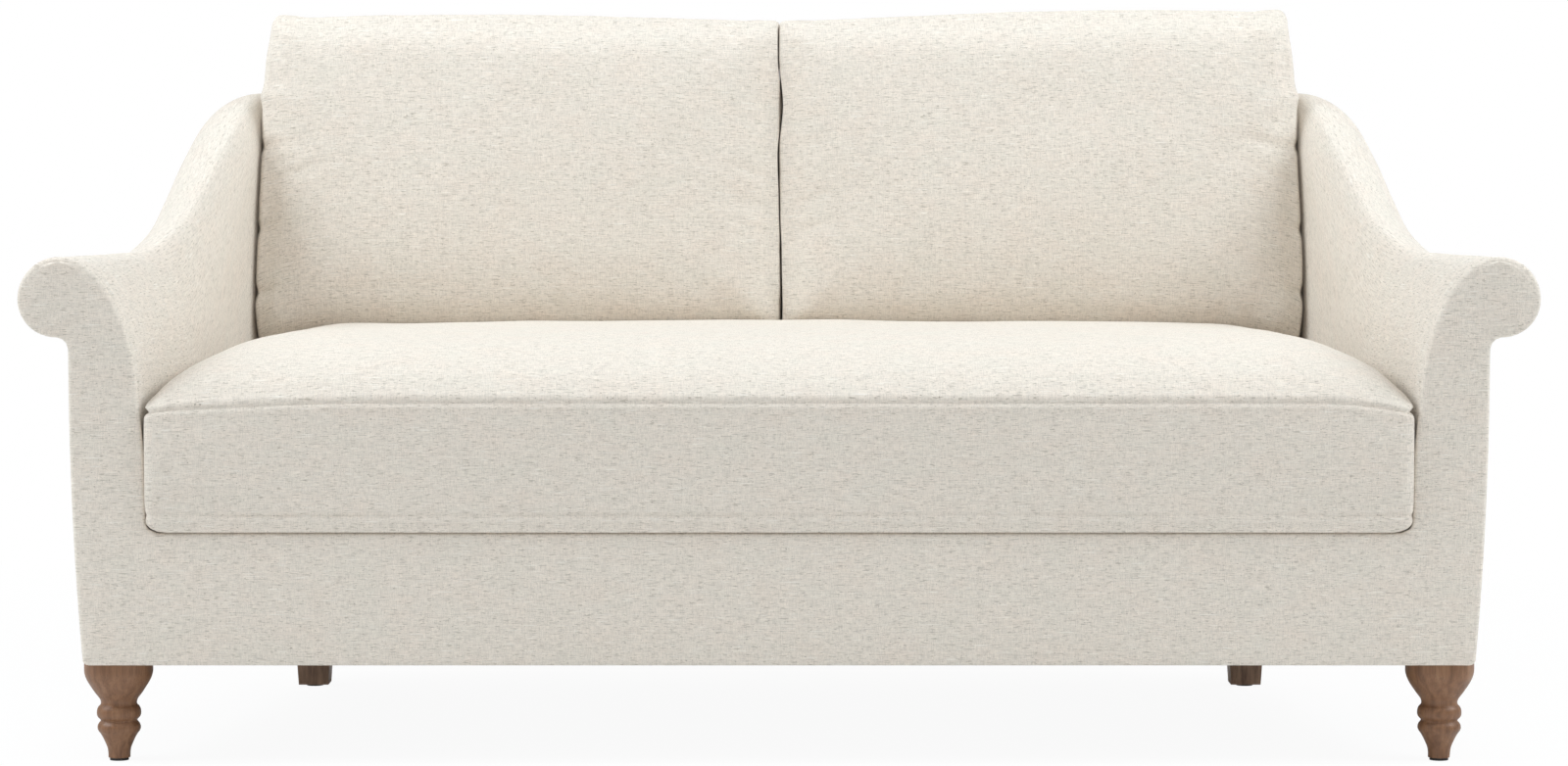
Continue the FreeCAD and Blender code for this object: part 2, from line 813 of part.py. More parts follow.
e_deck_front = "(Sizes.nose_return + Sizes.gap)"
e_deck_rear = "(Sizes.base_depth - Sizes.back_thick - Sizes.gap)"
plan_sheet(
    "deck_cover",
    f"{e_front} + {e_deck_front}",
    f"{e_front} + {e_deck_rear}",
    f"Sizes.inner_front - {e_slope} * {e_deck_front} - Sizes.gap",
    f"Sizes.inner_front - {e_slope} * {e_deck_rear} - Sizes.gap",
    "Sizes.deck_height - Sizes.cloth",
    "Sizes.cloth",
)
plan_sheet(
    "deck_pad",
    f"{e_front} + Sizes.nose_radius",
    f"{e_front} + {e_deck_rear}",
    f"Sizes.inner_front - {e_slope} * Sizes.nose_radius - Sizes.gap",
    f"Sizes.inner_front - {e_slope} * {e_deck_rear} - Sizes.gap",
    e_deck_pad_low,
    "Sizes.deck_pad",
)
e_bolt_hole = "Sizes.bolt_radius + Sizes.gap"
e_side_slope = "((Sizes.outer_front - Sizes.outer_back) / Sizes.base_depth)"
plan_sheet(
    "dust_cover",
    f"{e_front} + {e_liner}",
    f"{e_front} + Sizes.base_depth - {e_liner}",
    f"Sizes.outer_front - Sizes.side_lean - {e_liner} - {e_side_slope} * {e_liner}",
    f"Sizes.outer_back - Sizes.side_lean - {e_liner} + {e_side_slope} * {e_liner}",
    "Sizes.leg_height",
    "Sizes.dust_cloth",
    [
        ("Sizes.foot_in", f"{e_front} + Sizes.foot_back", e_bolt_hole),
        ("Sizes.block_in", f"{e_front} + Sizes.base_depth - Sizes.block_front", e_bolt_hole),
    ],
)


# front border: cloth down the front rail, round the nose and back over the deck
def border_profile(x, inset):
    high = of("deck_height") - inset
    radius = of("nose_radius") - inset
    y_near = front_y + inset
    y_far = front_y + of("nose_return")
    nose = front_y + of("nose_radius")
    return [
        (Vector(x, y_near, foot_top),),
        (Vector(x, y_near, high - radius),),
        (Vector(x, y_near, high), Vector(x, nose, high)),
        (Vector(x, y_far, high),),
    ]


def border_cover():
    half = of("inner_front") - gap
    narrow = wall_at(front_y + of("nose_return")) - gap
    wires = []
    for side in (-1, 1):
        steps = border_profile(0, 0) + backwards(border_profile(0, cloth))
        placed = []
        for step in steps:
            points = []
            for p in step:
                x = mix(half, narrow, (p.y - front_y) / of("nose_return"))
                points.append(Vector(side * x, p.y, p.z))
            placed.append(tuple(points))
        wires.append(outline(placed))
    return loft(wires)


feature("front_border_cover", border_cover())


# the back: cover and foam run up its front, round the top and back to the outside cover
def back_profile(inset, low):
    high = of("back_height") - inset
    crest = of("back_height") - of("back_foam") - gap
    edge = of("back_foam") + gap
    s_face = back_share + share(inset)
    s_crest = back_share + share(edge)
    s_rear = 1 - share(liner)
    return [
        (s_face, low),
        (s_face, crest),
        ((s_face, high), (s_crest, high)),
        (s_rear, high),
    ]


def back_shell(near, far, low):
    wires = []
    for side in (-1, 1):
        def spot(pair):
            s, z = pair
            p = at(0, z, s)
            return Vector(side * (wall_at(p.y - lean_at(z)) - of("back_side_gap")), p.y, z)

        def steps(profile):
            out = []
            for item in profile:
                if isinstance(item[0], tuple):
                    out.append(tuple(spot(p) for p in item))
                else:
                    out.append((spot(item),))
            return out

        path = steps(back_profile(near, low)) + backwards(steps(back_profile(far, low)))
        wires.append(outline(path))
    return loft(wires)


feature("inside_back_cover", back_shell(0, cloth, arm_low))
feature("back_foam", back_shell(liner, of("back_foam"), arm_low))


def outside_back(s):
    """The whole rear outline: both arms' outsides, shoulders and the top between them."""
    a = arm_section(1)
    right = [
        (at(side_x(1, foot_top, 0), foot_top, s),),
        side_bow(1, foot_top, bow_top(1), 0, lambda x, z: at(x, z, s)),
        (at(a["outer"], side_top(1, 0), s),),
        (at(a["outer"], a["roll"] - a["low"], s), at(a["tip"] - a["low"], a["roll"] - a["low"], s)),
        (at(a["tip"], a["roll"] - a["low"], s), at(a["tip"], a["roll"], s)),
        (at(a["tip"], a["top"], s), at(a["ridge"], a["top"], s)),
    ]
    return outline(right + [flipped(step) for step in backwards(right)])


feature("outside_back_cover", loft([outside_back(1 - share(cloth)), outside_back(1)]))


# upright webbing straps in front of the back rails, with two across behind them
def webbing():
    wide, thick = of("strap_wide"), of("strap_thick")
    low = lower_rail + gap
    high = post_high - gap
    face = rail_front - gap
    count = int(of("strap_count"))
    span = 2 * (of("inner_back") - wide)
    solids = []
    for i in range(count):
        x = -span / 2 + span * i / (count - 1)
        solids.append(
            slab(
                share(face - thick),
                share(face),
                low,
                high,
                lambda s, z: x - wide / 2,
                lambda s, z: x + wide / 2,
            )
        )
    return Part.makeCompound(solids)


feature("back_webbing", webbing())

# turned front foot, from the top down: radius and height as shares of the foot's own sizes.
# A third value is the radius of the arc that reaches the point, as a share, plus outwards, minus inwards.
foot_shares = [
    (0.960, 1.000, 0.0),
    (0.548, 0.598, 1.08),
    (0.600, 0.500, -0.25),
    (0.532, 0.382, 0.246),
    (0.548, 0.250, 0.257),
    (0.320, 0.100, -2.6),
    (0.303, 0.000, 0.0),
]


def turned_foot(name):
    body = doc.addObject("PartDesign::Body", "Body_" + name)
    plane = next(f for f in body.Origin.OriginFeatures if f.Role == "XZ_Plane")
    sketch = body.newObject("Sketcher::SketchObject", "Turning_" + name)
    sketch.AttachmentSupport = [(plane, "")]
    sketch.MapMode = "FlatFace"
    e_high = "(Sizes.leg_height - Sizes.glide_thick)"
    high = foot_top - of("glide_thick")
    radius = of("foot_radius")
    spots = [(0, 1)] + [(r, h) for r, h, arc in foot_shares] + [(0, 0)]
    bends = [0.0] + [arc for r, h, arc in foot_shares] + [0.0, 0.0]
    points = [Vector(r * radius, h * high, 0) for r, h in spots]
    count = len(points)
    for i in range(count):
        a, b = points[i], points[(i + 1) % count]
        bend = bends[i + 1] if i + 1 < count else 0.0
        if bend == 0.0:
            sketch.addGeometry(Part.LineSegment(a, b), False)
        else:
            sketch.addGeometry(arc_between(a, b, bend * radius), False)
    for i in range(count):
        here = end_position(bends[i + 1] if i + 1 < count else 0.0, last=True)
        there = end_position(bends[(i + 2) % (count + 1)] if i + 2 <= count else 0.0, last=False)
        sketch.addConstraint(Sketcher.Constraint("Coincident", i, here, (i + 1) % count, there))
    for i in range(count):
        r, h = spots[i]
        start = end_position(bends[i + 1] if i + 1 < count else 0.0, last=False)
        n = sketch.addConstraint(Sketcher.Constraint("DistanceX", -1, 1, i, start, points[i].x))
        sketch.setExpression(f"Constraints[{n}]", f"Sizes.foot_radius * {r}")
        n = sketch.addConstraint(Sketcher.Constraint("DistanceY", -1, 1, i, start, points[i].y))
        sketch.setExpression(f"Constraints[{n}]", f"{e_high} * {h}")
        bend = bends[i + 1] if i + 1 < count else 0.0
        if bend != 0.0:
            n = sketch.addConstraint(Sketcher.Constraint("Radius", i, abs(bend) * radius))
            sketch.setExpression(f"Constraints[{n}]", f"Sizes.foot_radius * {abs(bend)}")
    turning = body.newObject("PartDesign::Revolution", "Turned_" + name)
    turning.Profile = sketch
    turning.ReferenceAxis = (sketch, ["V_Axis"])
    turning.Angle = 360
    body.Tip = turning
    return body


def end_position(bend, last):
    """An outward arc is stored the other way round, so its ends swap."""
    swap = bend > 0.0
    return (1 if swap else 2) if last else (2 if swap else 1)


def arc_between(a, b, radius):
    """A minor arc going down from a to b: a plus radius bulges outwards, a minus one inwards."""
    chord = b - a
    half = chord.Length / 2
    r = abs(radius)
    rise = math.sqrt(r * r - half * half)
    normal = Vector(-chord.y, chord.x, 0).normalize()
    out = 1 if radius > 0 else -1
    middle = (a + b) / 2
    centre = middle - normal * rise * out
    edge = middle + normal * (r - rise) * out
    if radius > 0:
        return Part.Arc(b, edge, a)
    return Part.Arc(a, edge, b)


def bored(name, body, side, e_x, e_y):
    """A foot with its blind holes for the bolt and the glide's pin, put in its place."""
    holes = []
    for label, radius, length, low in (
        ("bolt", "Sizes.bolt_radius + Sizes.bolt_fit", "Sizes.bolt_in_foot + Sizes.gap", "bolt"),
        ("pin", "Sizes.glide_pin + Sizes.bolt_fit", "Sizes.glide_pin_long + Sizes.gap", "pin"),
    ):
        hole = doc.addObject("Part::Cylinder", f"Hole_{label}_{name}")
        hole.setExpression("Radius", radius)
        hole.setExpression("Height", f"{length} + Sizes.gap")
        if low == "bolt":
            hole.setExpression(
                "Placement.Base.z",
                "Sizes.leg_height - Sizes.glide_thick - Sizes.bolt_in_foot - Sizes.gap",
            )
        else:
            hole.setExpression("Placement.Base.z", "-Sizes.gap")
        holes.append(hole)
    both = doc.addObject("Part::MultiFuse", "Holes_" + name)
    both.Shapes = holes
    cut = doc.addObject("Part::Cut", "Foot_" + name)
    cut.Base = body
    cut.Tool = both
    cut.setExpression("Placement.Base.x", f"{side} * {e_x}")
    cut.setExpression("Placement.Base.y", e_y)
    cut.setExpression("Placement.Base.z", "Sizes.glide_thick")
    return keep(cut, name)


e_foot_y = f"{e_front} + Sizes.foot_back"
e_block_y = f"{e_front} + Sizes.base_depth - Sizes.block_front"
for word, side in (("left", -1), ("right", 1)):
    bored(f"front_foot_{word}", turned_foot(f"front_{word}"), side, "Sizes.foot_in", e_foot_y)


def block_foot(name):
    """A square foot that narrows to the floor."""
    body = doc.addObject("PartDesign::Body", "Body_" + name)
    plane = next(f for f in body.Origin.OriginFeatures if f.Role == "XY_Plane")
    sketch = body.newObject("Sketcher::SketchObject", "Square_" + name)
    sketch.AttachmentSupport = [(plane, "")]
    sketch.MapMode = "FlatFace"
    half = of("block_foot") / 2
    corners = [(-1, -1), (1, -1), (1, 1), (-1, 1)]
    points = [Vector(x * half, y * half, 0) for x, y in corners]
    for i in range(4):
        sketch.addGeometry(Part.LineSegment(points[i], points[(i + 1) % 4]), False)
    for i in range(4):
        sketch.addConstraint(Sketcher.Constraint("Coincident", i, 2, (i + 1) % 4, 1))
    for i, (x, y) in enumerate(corners):
        n = sketch.addConstraint(Sketcher.Constraint("DistanceX", -1, 1, i, 1, points[i].x))
        sketch.setExpression(f"Constraints[{n}]", f"{x} * Sizes.block_foot / 2")
        n = sketch.addConstraint(Sketcher.Constraint("DistanceY", -1, 1, i, 1, points[i].y))
        sketch.setExpression(f"Constraints[{n}]", f"{y} * Sizes.block_foot / 2")
    sketch.setExpression("AttachmentOffset.Base.z", "Sizes.leg_height - Sizes.glide_thick")
    pad = body.newObject("PartDesign::Pad", "Pad_" + name)
    pad.Profile = sketch
    pad.Reversed = True
    pad.setExpression("Length", "Sizes.leg_height - Sizes.glide_thick")
    pad.setExpression("TaperAngle", "-Sizes.block_taper")
    body.Tip = pad
    return body


for word, side in (("left", -1), ("right", 1)):
    bored(f"rear_foot_{word}", block_foot(f"rear_{word}"), side, "Sizes.block_in", e_block_y)

def glide(axis):
    disc = Part.makeCylinder(of("glide_radius"), of("glide_thick"), Vector(axis.x, axis.y, 0))
    pin_high = of("glide_thick") + of("glide_pin_long")
    pin = Part.makeCylinder(of("glide_pin"), pin_high, Vector(axis.x, axis.y, 0))
    return disc.fuse(pin).removeSplitter()


feature("foot_glides", with_mirror([glide(axis) for axis in (front_axis, rear_axis)]))

# seat cushion: sections across the seat from front to rear, crowned between its seams
seat_low = of("deck_height") + gap
seam_z = of("deck_height") + of("seat_thick")
seat_front = front_y - of("seat_proud")
seat_rear = front_y + (1 - of("back_thick") / base) * base - gap
seat_shares = (0.0, 0.010, 0.04, 0.10, 0.20, 0.36, 0.55, 0.72, 0.84, 0.93, 0.985, 1.0)
end_pull = of("seat_corner") / 2
crown_front_share = 0.42
crown_rear_share = 0.28


def crown(u):
    """0 at the front and rear seams, 1 over the middle, rounded like a quarter of an ellipse."""
    front = min(u / crown_front_share, 1.0)
    rear = min((1 - u) / crown_rear_share, 1.0)
    return math.sqrt(1 - (1 - front) ** 2) * math.sqrt(1 - (1 - rear) ** 2)


def end_round(u):
    """How far the section is drawn in near an end, as a share."""
    edge = seat_shares[2]
    near = min(u, 1 - u)
    return 0.0 if near >= edge else 1 - math.sqrt(1 - (1 - near / edge) ** 2)


def seat_section(u, inset):
    y = mix(seat_front + inset, seat_rear - inset, u)
    pull = end_round(u) * end_pull
    half = wall_at(y) - of("seat_side_gap") - pull - inset
    low = seat_low + pull + inset
    corner = of("seat_corner")
    run = of("seat_edge_run")
    seam = seam_z - pull - inset
    edge = seam + of("seat_edge") * crown(u)
    top = seam + of("seat_crown") * crown(u)
    rise = max(edge - seam, gap)
    ring = [
        (Vector(0, y, low),),
        (Vector(half - corner, y, low),),
        (Vector(half, y, low), Vector(half, y, low + corner)),
        (Vector(half, y, seam - corner),),
        (Vector(half, y, seam - corner + rise + corner), Vector(half - run, y, seam + rise)),
    ]
    crest = ring[-1][-1]
    middle = Vector(0, y, max(top, crest.z + gap))
    arc = Part.Arc(crest, middle, Vector(-crest.x, y, crest.z)).toShape()
    left = [flipped(step) for step in backwards(ring)]
    return Part.Wire(edges_along(ring) + [arc] + edges_along(left))


def seat_form(inset):
    return loft([seat_section(u, inset) for u in seat_shares])


def zip_box(x_low, x_high, y_face, deep, z_middle, high):
    return Part.makeBox(x_high - x_low, deep, high, Vector(x_low, y_face - deep, z_middle - high / 2))


seat_zip_z = seat_low + of("seat_thick") / 2
seat_zip_half = wall_at(seat_rear) - of("zip_end")
wrap = of("cushion_cloth")
seat_outer = seat_form(0)
lead = of("channel_lead")
seat_channel = zip_box(
    -seat_zip_half,
    seat_zip_half,
    seat_rear + lead,
    wrap + lead + gap,
    seat_zip_z,
    of("zip_high"),
)
feature("seat_cushion_cover", seat_outer.cut(seat_form(wrap)).cut(seat_channel))
feature("seat_cushion_core", seat_form(wrap + gap))
tape_high = of("zip_high") - 2 * gap
feature(
    "seat_cushion_zip",
    zip_box(
        -seat_zip_half + gap,
        seat_zip_half - gap,
        seat_rear - of("zip_deep"),
        of("zip_tape"),
        seat_zip_z,
        tape_high,
    ),
)


def slider(x, y_face, z):
    """A zip slider on the tape's outer face, with a pull tab that lies along the zip."""
    body = Part.makeBox(
        of("slider_long"),
        of("slider_thick"),
        of("slider_high"),
        Vector(x, y_face + gap, z - of("slider_high") / 2),
    )
    pull_high = of("slider_high") / 2
    pull = Part.makeBox(
        of("pull_long"),
        of("pull_thick"),
        pull_high,
        Vector(x, y_face + gap + of("slider_thick"), z - pull_high / 2),
    )
    return body.fuse(pull).removeSplitter()


seat_tape_face = seat_rear - of("zip_deep")
feature("seat_zip_slider", slider(-seat_zip_half + 2 * gap, seat_tape_face, seat_zip_z))

# back cushions: upright sections from the middle of the seat to the arm
pillow_shares = (0.0, 0.006, 0.02, 0.045, 0.14, 0.32, 0.5, 0.68, 0.86, 0.955, 0.98, 0.994, 1.0)
pillow_back_share = back_share - share(gap)
pillow_swell_share = 0.7


def seat_top(x, y):
    """The seat cushion's height at a point."""
    u = (y - seat_front) / (seat_rear - seat_front)
    k = crown(min(max(u, 0.0), 1.0))
    half = wall_at(y) - of("seat_side_gap")
    rim = half - of("seat_edge_run")
    edge = seam_z + of("seat_edge") * k
    if abs(x) > rim:
        t = min((abs(x) - rim) / of("seat_edge_run"), 1.0)
        return seam_z - of("seat_corner") + (edge - seam_z + of("seat_corner")) * math.sqrt(1 - t * t)
    return edge + (of("seat_crown") - of("seat_edge")) * k * (1 - (x / rim) ** 2)


def pillow_section(v, inset):
    near = min(v, 1 - v)
    edge = pillow_shares[3]
    pull = 0.0 if near >= edge else 1 - math.sqrt(1 - (1 - near / edge) ** 2)
    drawn = pull * of("pillow_corner")
    high = of("pillow_reach") - of("pillow_dome") - drawn - inset
    y_rear_low = at(0, seam_z, pillow_back_share).y
    middle_x = mix(of("pillow_middle_gap"), wall_at(y_rear_low), v)
    y_contact = y_rear_low - of("pillow_bottom")
    low = max(seat_top(middle_x, y_contact + of("pillow_bottom") * t / 4) for t in range(5)) + 2 * gap + inset

    def spot(y, z):
        arm = wall_at(y - lean_at(z)) - of("pillow_side_gap") - inset
        return Vector(mix(of("pillow_middle_gap") + inset, arm, v), y, z)

    def rear(z):
        return at(0, z, pillow_back_share).y - inset

    front_low = rear(low) + inset - of("pillow_bottom") + inset + drawn
    front_high = rear(high) + inset - of("pillow_top") + inset + drawn
    swell = math.sin(math.pi * v) ** pillow_swell_share
    bulge = of("pillow_bulge") * swell + gap
    dome = of("pillow_dome") * (1 - pull) + gap
    a, b = spot(rear(low), low), spot(rear(high), high)
    c, d = spot(front_high, high), spot(front_low, low)
    top_y = (rear(high) + front_high) / 2
    face_z = (low + high) / 2
    face_y = (front_low + front_high) / 2 - bulge
    return Part.Wire(
        [
            Part.makeLine(a, b),
            Part.Arc(b, spot(top_y, high + dome), c).toShape(),
            Part.Arc(c, spot(face_y, face_z), d).toShape(),
            Part.makeLine(d, a),
        ]
    )


def pillow_form(inset):
    return loft([pillow_section(v, inset) for v in pillow_shares])


pillow_zip_z = seam_z + of("seat_crown") + of("zip_lift")
pillow_zip_y = at(0, pillow_zip_z - of("zip_high") / 2, pillow_back_share).y
pillow_zip_low = of("pillow_middle_gap") + of("zip_end")
pillow_zip_high = wall_at(pillow_zip_y) - of("zip_end")
pillow_channel = zip_box(
    pillow_zip_low,
    pillow_zip_high,
    pillow_zip_y + lead,
    wrap + lead + gap,
    pillow_zip_z,
    of("zip_high"),
)
both_sides("back_cushion_cover", pillow_form(0).cut(pillow_form(wrap)).cut(pillow_channel))
both_sides("back_cushion_fill", pillow_form(wrap + gap))
both_sides(
    "back_cushion_zip",
    zip_box(
        pillow_zip_low + gap,
        pillow_zip_high - gap,
        pillow_zip_y - of("zip_deep"),
        of("zip_tape"),
        pillow_zip_z,
        tape_high,
    ),
)
both_sides(
    "back_zip_slider",
    slider(pillow_zip_low + 2 * gap, pillow_zip_y - of("zip_deep"), pillow_zip_z),
)

# build, check and write every piece
doc.recompute()
failed = [o.Name for o in doc.Objects if "Invalid" in o.State or "Error" in o.State]
if failed:
    raise RuntimeError(f"these objects failed: {failed}")
os.makedirs("parts", exist_ok=True)
for name, obj in sorted(pieces.items()):
    shape = obj.Shape
    if shape.isNull() or not shape.isValid() or not shape.Solids:
        raise RuntimeError(f"{name} has no valid solid")
    shape.exportStep(f"parts/{name}.step")
    box = shape.BoundBox
    lengths = f"{box.XLength:8.1f} {box.YLength:8.1f} {box.ZLength:8.1f}"
    print(f"{name:24s} {len(shape.Solids):3d} solids  {lengths}")
print(len(pieces), "pieces")
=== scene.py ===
import json
import math
import bmesh
import bpy
import numpy as np
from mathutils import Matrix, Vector


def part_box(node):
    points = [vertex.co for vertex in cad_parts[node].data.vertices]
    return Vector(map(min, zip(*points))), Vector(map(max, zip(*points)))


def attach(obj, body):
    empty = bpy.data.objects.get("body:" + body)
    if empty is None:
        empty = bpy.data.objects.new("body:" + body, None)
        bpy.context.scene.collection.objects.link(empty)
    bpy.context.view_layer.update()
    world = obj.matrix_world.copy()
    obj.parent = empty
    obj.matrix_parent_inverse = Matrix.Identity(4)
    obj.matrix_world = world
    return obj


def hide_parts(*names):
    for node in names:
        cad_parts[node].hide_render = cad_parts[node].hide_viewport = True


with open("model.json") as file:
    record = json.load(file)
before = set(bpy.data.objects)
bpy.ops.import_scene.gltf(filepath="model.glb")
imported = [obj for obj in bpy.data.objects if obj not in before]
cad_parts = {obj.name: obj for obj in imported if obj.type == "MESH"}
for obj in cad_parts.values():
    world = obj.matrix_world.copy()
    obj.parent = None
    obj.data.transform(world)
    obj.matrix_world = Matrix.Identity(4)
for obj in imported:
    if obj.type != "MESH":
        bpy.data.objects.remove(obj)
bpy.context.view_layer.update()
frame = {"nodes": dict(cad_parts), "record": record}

scene = bpy.context.scene

# Loveseat in ivory slub linen: one front panel with scroll ends, two rolled arms that sweep up to
# the back, a bench cushion, two loose back cushions, turned front feet and square rear feet.
# The front faces -Y. Everything is in metres.

body = {
    "frontY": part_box("front_border_cover")[0].y,
    "low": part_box("front_border_cover")[0].z,
    "hem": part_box("front_border_cover")[0].z - 0.004,  # the cloth's lower edge
    "deck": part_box("front_border_cover")[1].z,
    "high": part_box("inside_back_cover")[1].z,
    "depth": 0.862,
    "rake": 0.058,
    "backThick": 0.135,
    "innerFront": 0.808,
    "innerBack": 0.693,
    "outerFront": 0.897,
    "outerBack": 0.790,
    "sideLean": 0.015,
    "leanHeight": 0.500,
}

arm = {
    "top": 0.644,
    "roll": 0.054,
    "over": 0.0635,
    "overBack": 0.006,
    "shoulderRise": 0.085,
    "shoulderRun": 0.078,
    "flareFront": 0.205,
    "flareBack": 0.034,
    "sweepStart": 0.27,
    "sweepEnd": 0.80,
    "rollEnd": 0.52,
    "lowShare": 0.755,
    "seam": 0.0075,  # front plane to the arm's first seam
    "tuck": 0.012,
    "hem": 0.008,  # roundness of the bottom edge
    "soft": 0.0022,  # unevenness of the padding
    "drag": 0.0012,  # folds where the top turns upward
    # rows that turn in to the seams at the front and the rear: share of the depth and inset
    "frontTurn": ((0, 0.0055), (0.0006, 0.0026), (0.0018, 0.0010), (0.0042, 0.0002)),
    "backTurn": ((0.004, 0.0004), (0.0016, 0.0014), (0, 0.0040)),
    "backSeam": 0.004,  # rear plane to the arm's last seam
    "steps": (16, 34, 22, 16, 10, 30, 6),  # points on each stretch of the outline
}


def mix(a, b, t):
    return a + (b - a) * t


def ease(t):
    # 3t^2 - 2t^3 between 0 and 1
    t = np.clip(t, 0, 1)
    return t * t * (3 - 2 * t)


def bump(distance, width):
    # a bell curve of the distance
    return np.exp(-((distance / width) ** 2))


def quarterRise(t):
    # 0 to 1 like a quarter of a circle
    return np.sqrt(1 - (1 - np.clip(t, 0, 1)) ** 2)


def softNoise(points, size, seed):
    # smooth random values from -1 to 1 on a lattice of the given size, blended with ease() between its corners
    q = points / size
    cell = np.floor(q).astype(np.int64)
    f = ease(q - cell)
    total = np.zeros(points.shape[:-1])
    for corner in range(8):
        offset = np.array([corner & 1, corner >> 1 & 1, corner >> 2 & 1])
        c = cell + offset
        key = c[..., 0] * 73856093 ^ c[..., 1] * 19349663 ^ c[..., 2] * 83492791 ^ seed * 2654435761
        key = (key ^ (key >> 13)) * 1274126177 & 0xFFFFFFFF
        value = ((key ^ (key >> 16)) & 0xFFFF) / 32767.5 - 1
        weight = np.prod(np.where(offset == 1, f, 1 - f), axis=-1)
        total += value * weight
    return total


def unevenness(points, broad, fine, seed, share=0.4):
    # broad waves, with finer ones taking the given share
    return softNoise(points, broad, seed) * (1 - share) + softNoise(points, fine, seed + 1) * share


def unitNormals(grid, wrap=False):
    # the cross product of the two directions of the grid
    du = np.gradient(grid, axis=0)
    if wrap:
        dv = (np.roll(grid, -1, axis=1) - np.roll(grid, 1, axis=1)) / 2
    else:
        dv = np.gradient(grid, axis=1)
    n = np.cross(du, dv)
    return n / np.maximum(np.linalg.norm(n, axis=-1, keepdims=True), 1e-12)


def pathLengths(points):
    # how far along a polyline each of its points lies
    step = np.linalg.norm(np.diff(points, axis=0), axis=-1)
    return np.concatenate([[0], np.cumsum(step)])


def closeColumns(grid):
    return np.concatenate([grid, grid[:, :1]], axis=1)


def gridUv(grid, closed):
    # metres: the mean way across the rows, and the way along the middle row
    across = np.linalg.norm(np.diff(grid, axis=0), axis=-1).mean(axis=1)
    rows = closeColumns(grid) if closed else grid
    u = np.concatenate([[0], np.cumsum(across)])
    v = pathLengths(rows[len(rows) // 2])
    return np.stack(np.meshgrid(u, v, indexing="ij"), axis=-1)


def cells(n, columns, m):
    # the row i, the column j and the next column k of every quad
    i, j = np.meshgrid(np.arange(n - 1), np.arange(columns), indexing="ij")
    i, j = i.ravel(), j.ravel()
    return i, j, (j + 1) % m


def newPiece(name, points, faces, uvs, material, flip=False, weld=False):
    # a smooth mesh of the given arrays of faces, each with the uv of its corners; flip turns them round
    if flip:
        faces, uvs = [part[:, ::-1] for part in faces], [part[:, ::-1] for part in uvs]
    loops = np.concatenate([part.ravel() for part in faces])
    sizes = np.concatenate([np.full(len(part), part.shape[1]) for part in faces])
    starts = np.cumsum(sizes) - sizes
    corners = np.concatenate([part.reshape(-1, 2) for part in uvs])
    mesh = bpy.data.meshes.new(name)
    mesh.vertices.add(len(points))
    mesh.vertices.foreach_set("co", points.astype(np.float32).ravel())
    mesh.loops.add(len(loops))
    mesh.loops.foreach_set("vertex_index", loops.astype(np.int32))
    mesh.polygons.add(len(starts))
    mesh.polygons.foreach_set("loop_start", starts.astype(np.int32))
    mesh.update(calc_edges=True)
    mesh.uv_layers.new(name="cloth").data.foreach_set("uv", corners.astype(np.float32).ravel())
    mesh.polygons.foreach_set("use_smooth", np.ones(len(starts), bool))
    if weld:
        work = bmesh.new()
        work.from_mesh(mesh)
        bmesh.ops.remove_doubles(work, verts=work.verts, dist=2e-6)
        work.to_mesh(mesh)
        work.free()
    mesh.validate()
    piece = bpy.data.objects.new(name, mesh)
    scene.collection.objects.link(piece)
    mesh.materials.append(material)
    return piece


def makePiece(name, grid, material, uv=None, closed=False, flip=False):
    # quads over an n by m grid of points; a closed one is joined round, and each end closes on its centre
    n, m = grid.shape[:2]
    uv = gridUv(grid, closed) if uv is None else uv
    i, j, k = cells(n, m if closed else m - 1, m)
    quads = np.stack([i * m + j, (i + 1) * m + j, (i + 1) * m + k, i * m + k], axis=1)
    quadUv = np.stack([uv[i, j], uv[i + 1, j], uv[i + 1, j + 1], uv[i, j + 1]], axis=1)
    points, faces, uvs = grid.reshape(-1, 3), [quads], [quadUv]
    if closed:
        points = np.concatenate([points, grid[:1].mean(axis=1), grid[-1:].mean(axis=1)])
        j = np.arange(m)
        k = (j + 1) % m
        middle = np.broadcast_to(uv[0, m // 2], (m, 2))
        faces.append(np.stack([j, k, np.full_like(j, n * m)], axis=1))
        faces.append(np.stack([(n - 1) * m + k, (n - 1) * m + j, np.full_like(j, n * m + 1)], axis=1))
        uvs.append(np.stack([uv[0, j], uv[0, j + 1], middle], axis=1))
        uvs.append(np.stack([uv[-1, j + 1], uv[-1, j], middle], axis=1))
    return newPiece(name, points, faces, uvs, material, flip)


def weldedPiece(name, grid, uvs, panels, material, flip=False):
    # closed rings whose quads each take the uv of their own panel; the doubled spine points are merged
    n, m = grid.shape[:2]
    i, j, k = cells(n, m, m)
    p = panels[i]
    quads = np.stack([i * m + j, i * m + k, (i + 1) * m + k, (i + 1) * m + j], axis=1)
    quadUv = np.stack([uvs[p, i, j], uvs[p, i, j + 1], uvs[p, i + 1, j + 1], uvs[p, i + 1, j]], axis=1)
    return newPiece(name, grid.reshape(-1, 3), [quads], [quadUv], material, flip, weld=True)


def place(piece, bodyName, slotName, *nodes):
    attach(piece, bodyName)
    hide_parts(*nodes)
    return piece


def wordOf(side):
    return "right" if side > 0 else "left"


# rings that close on a straight spine

def spineOf(half, middle, long, short):
    # a straight line inside the loop, which its rings close on
    go = np.linspace(-half, half, long, endpoint=False)
    x = np.concatenate([go, np.full(short, half), -go, np.full(short, -half)])
    return np.stack([x, np.full(len(x), middle)], axis=1)


def loopLengths(loop):
    return pathLengths(np.concatenate([loop, loop[:1]]))


def loopOut(loop):
    # the unit vectors square to an anticlockwise loop
    tangent = np.roll(loop, -1, axis=0) - np.roll(loop, 1, axis=0)
    tangent /= np.maximum(np.linalg.norm(tangent, axis=1, keepdims=True), 1e-9)
    return np.stack([tangent[:, 1], -tangent[:, 0]], axis=1)


# materials

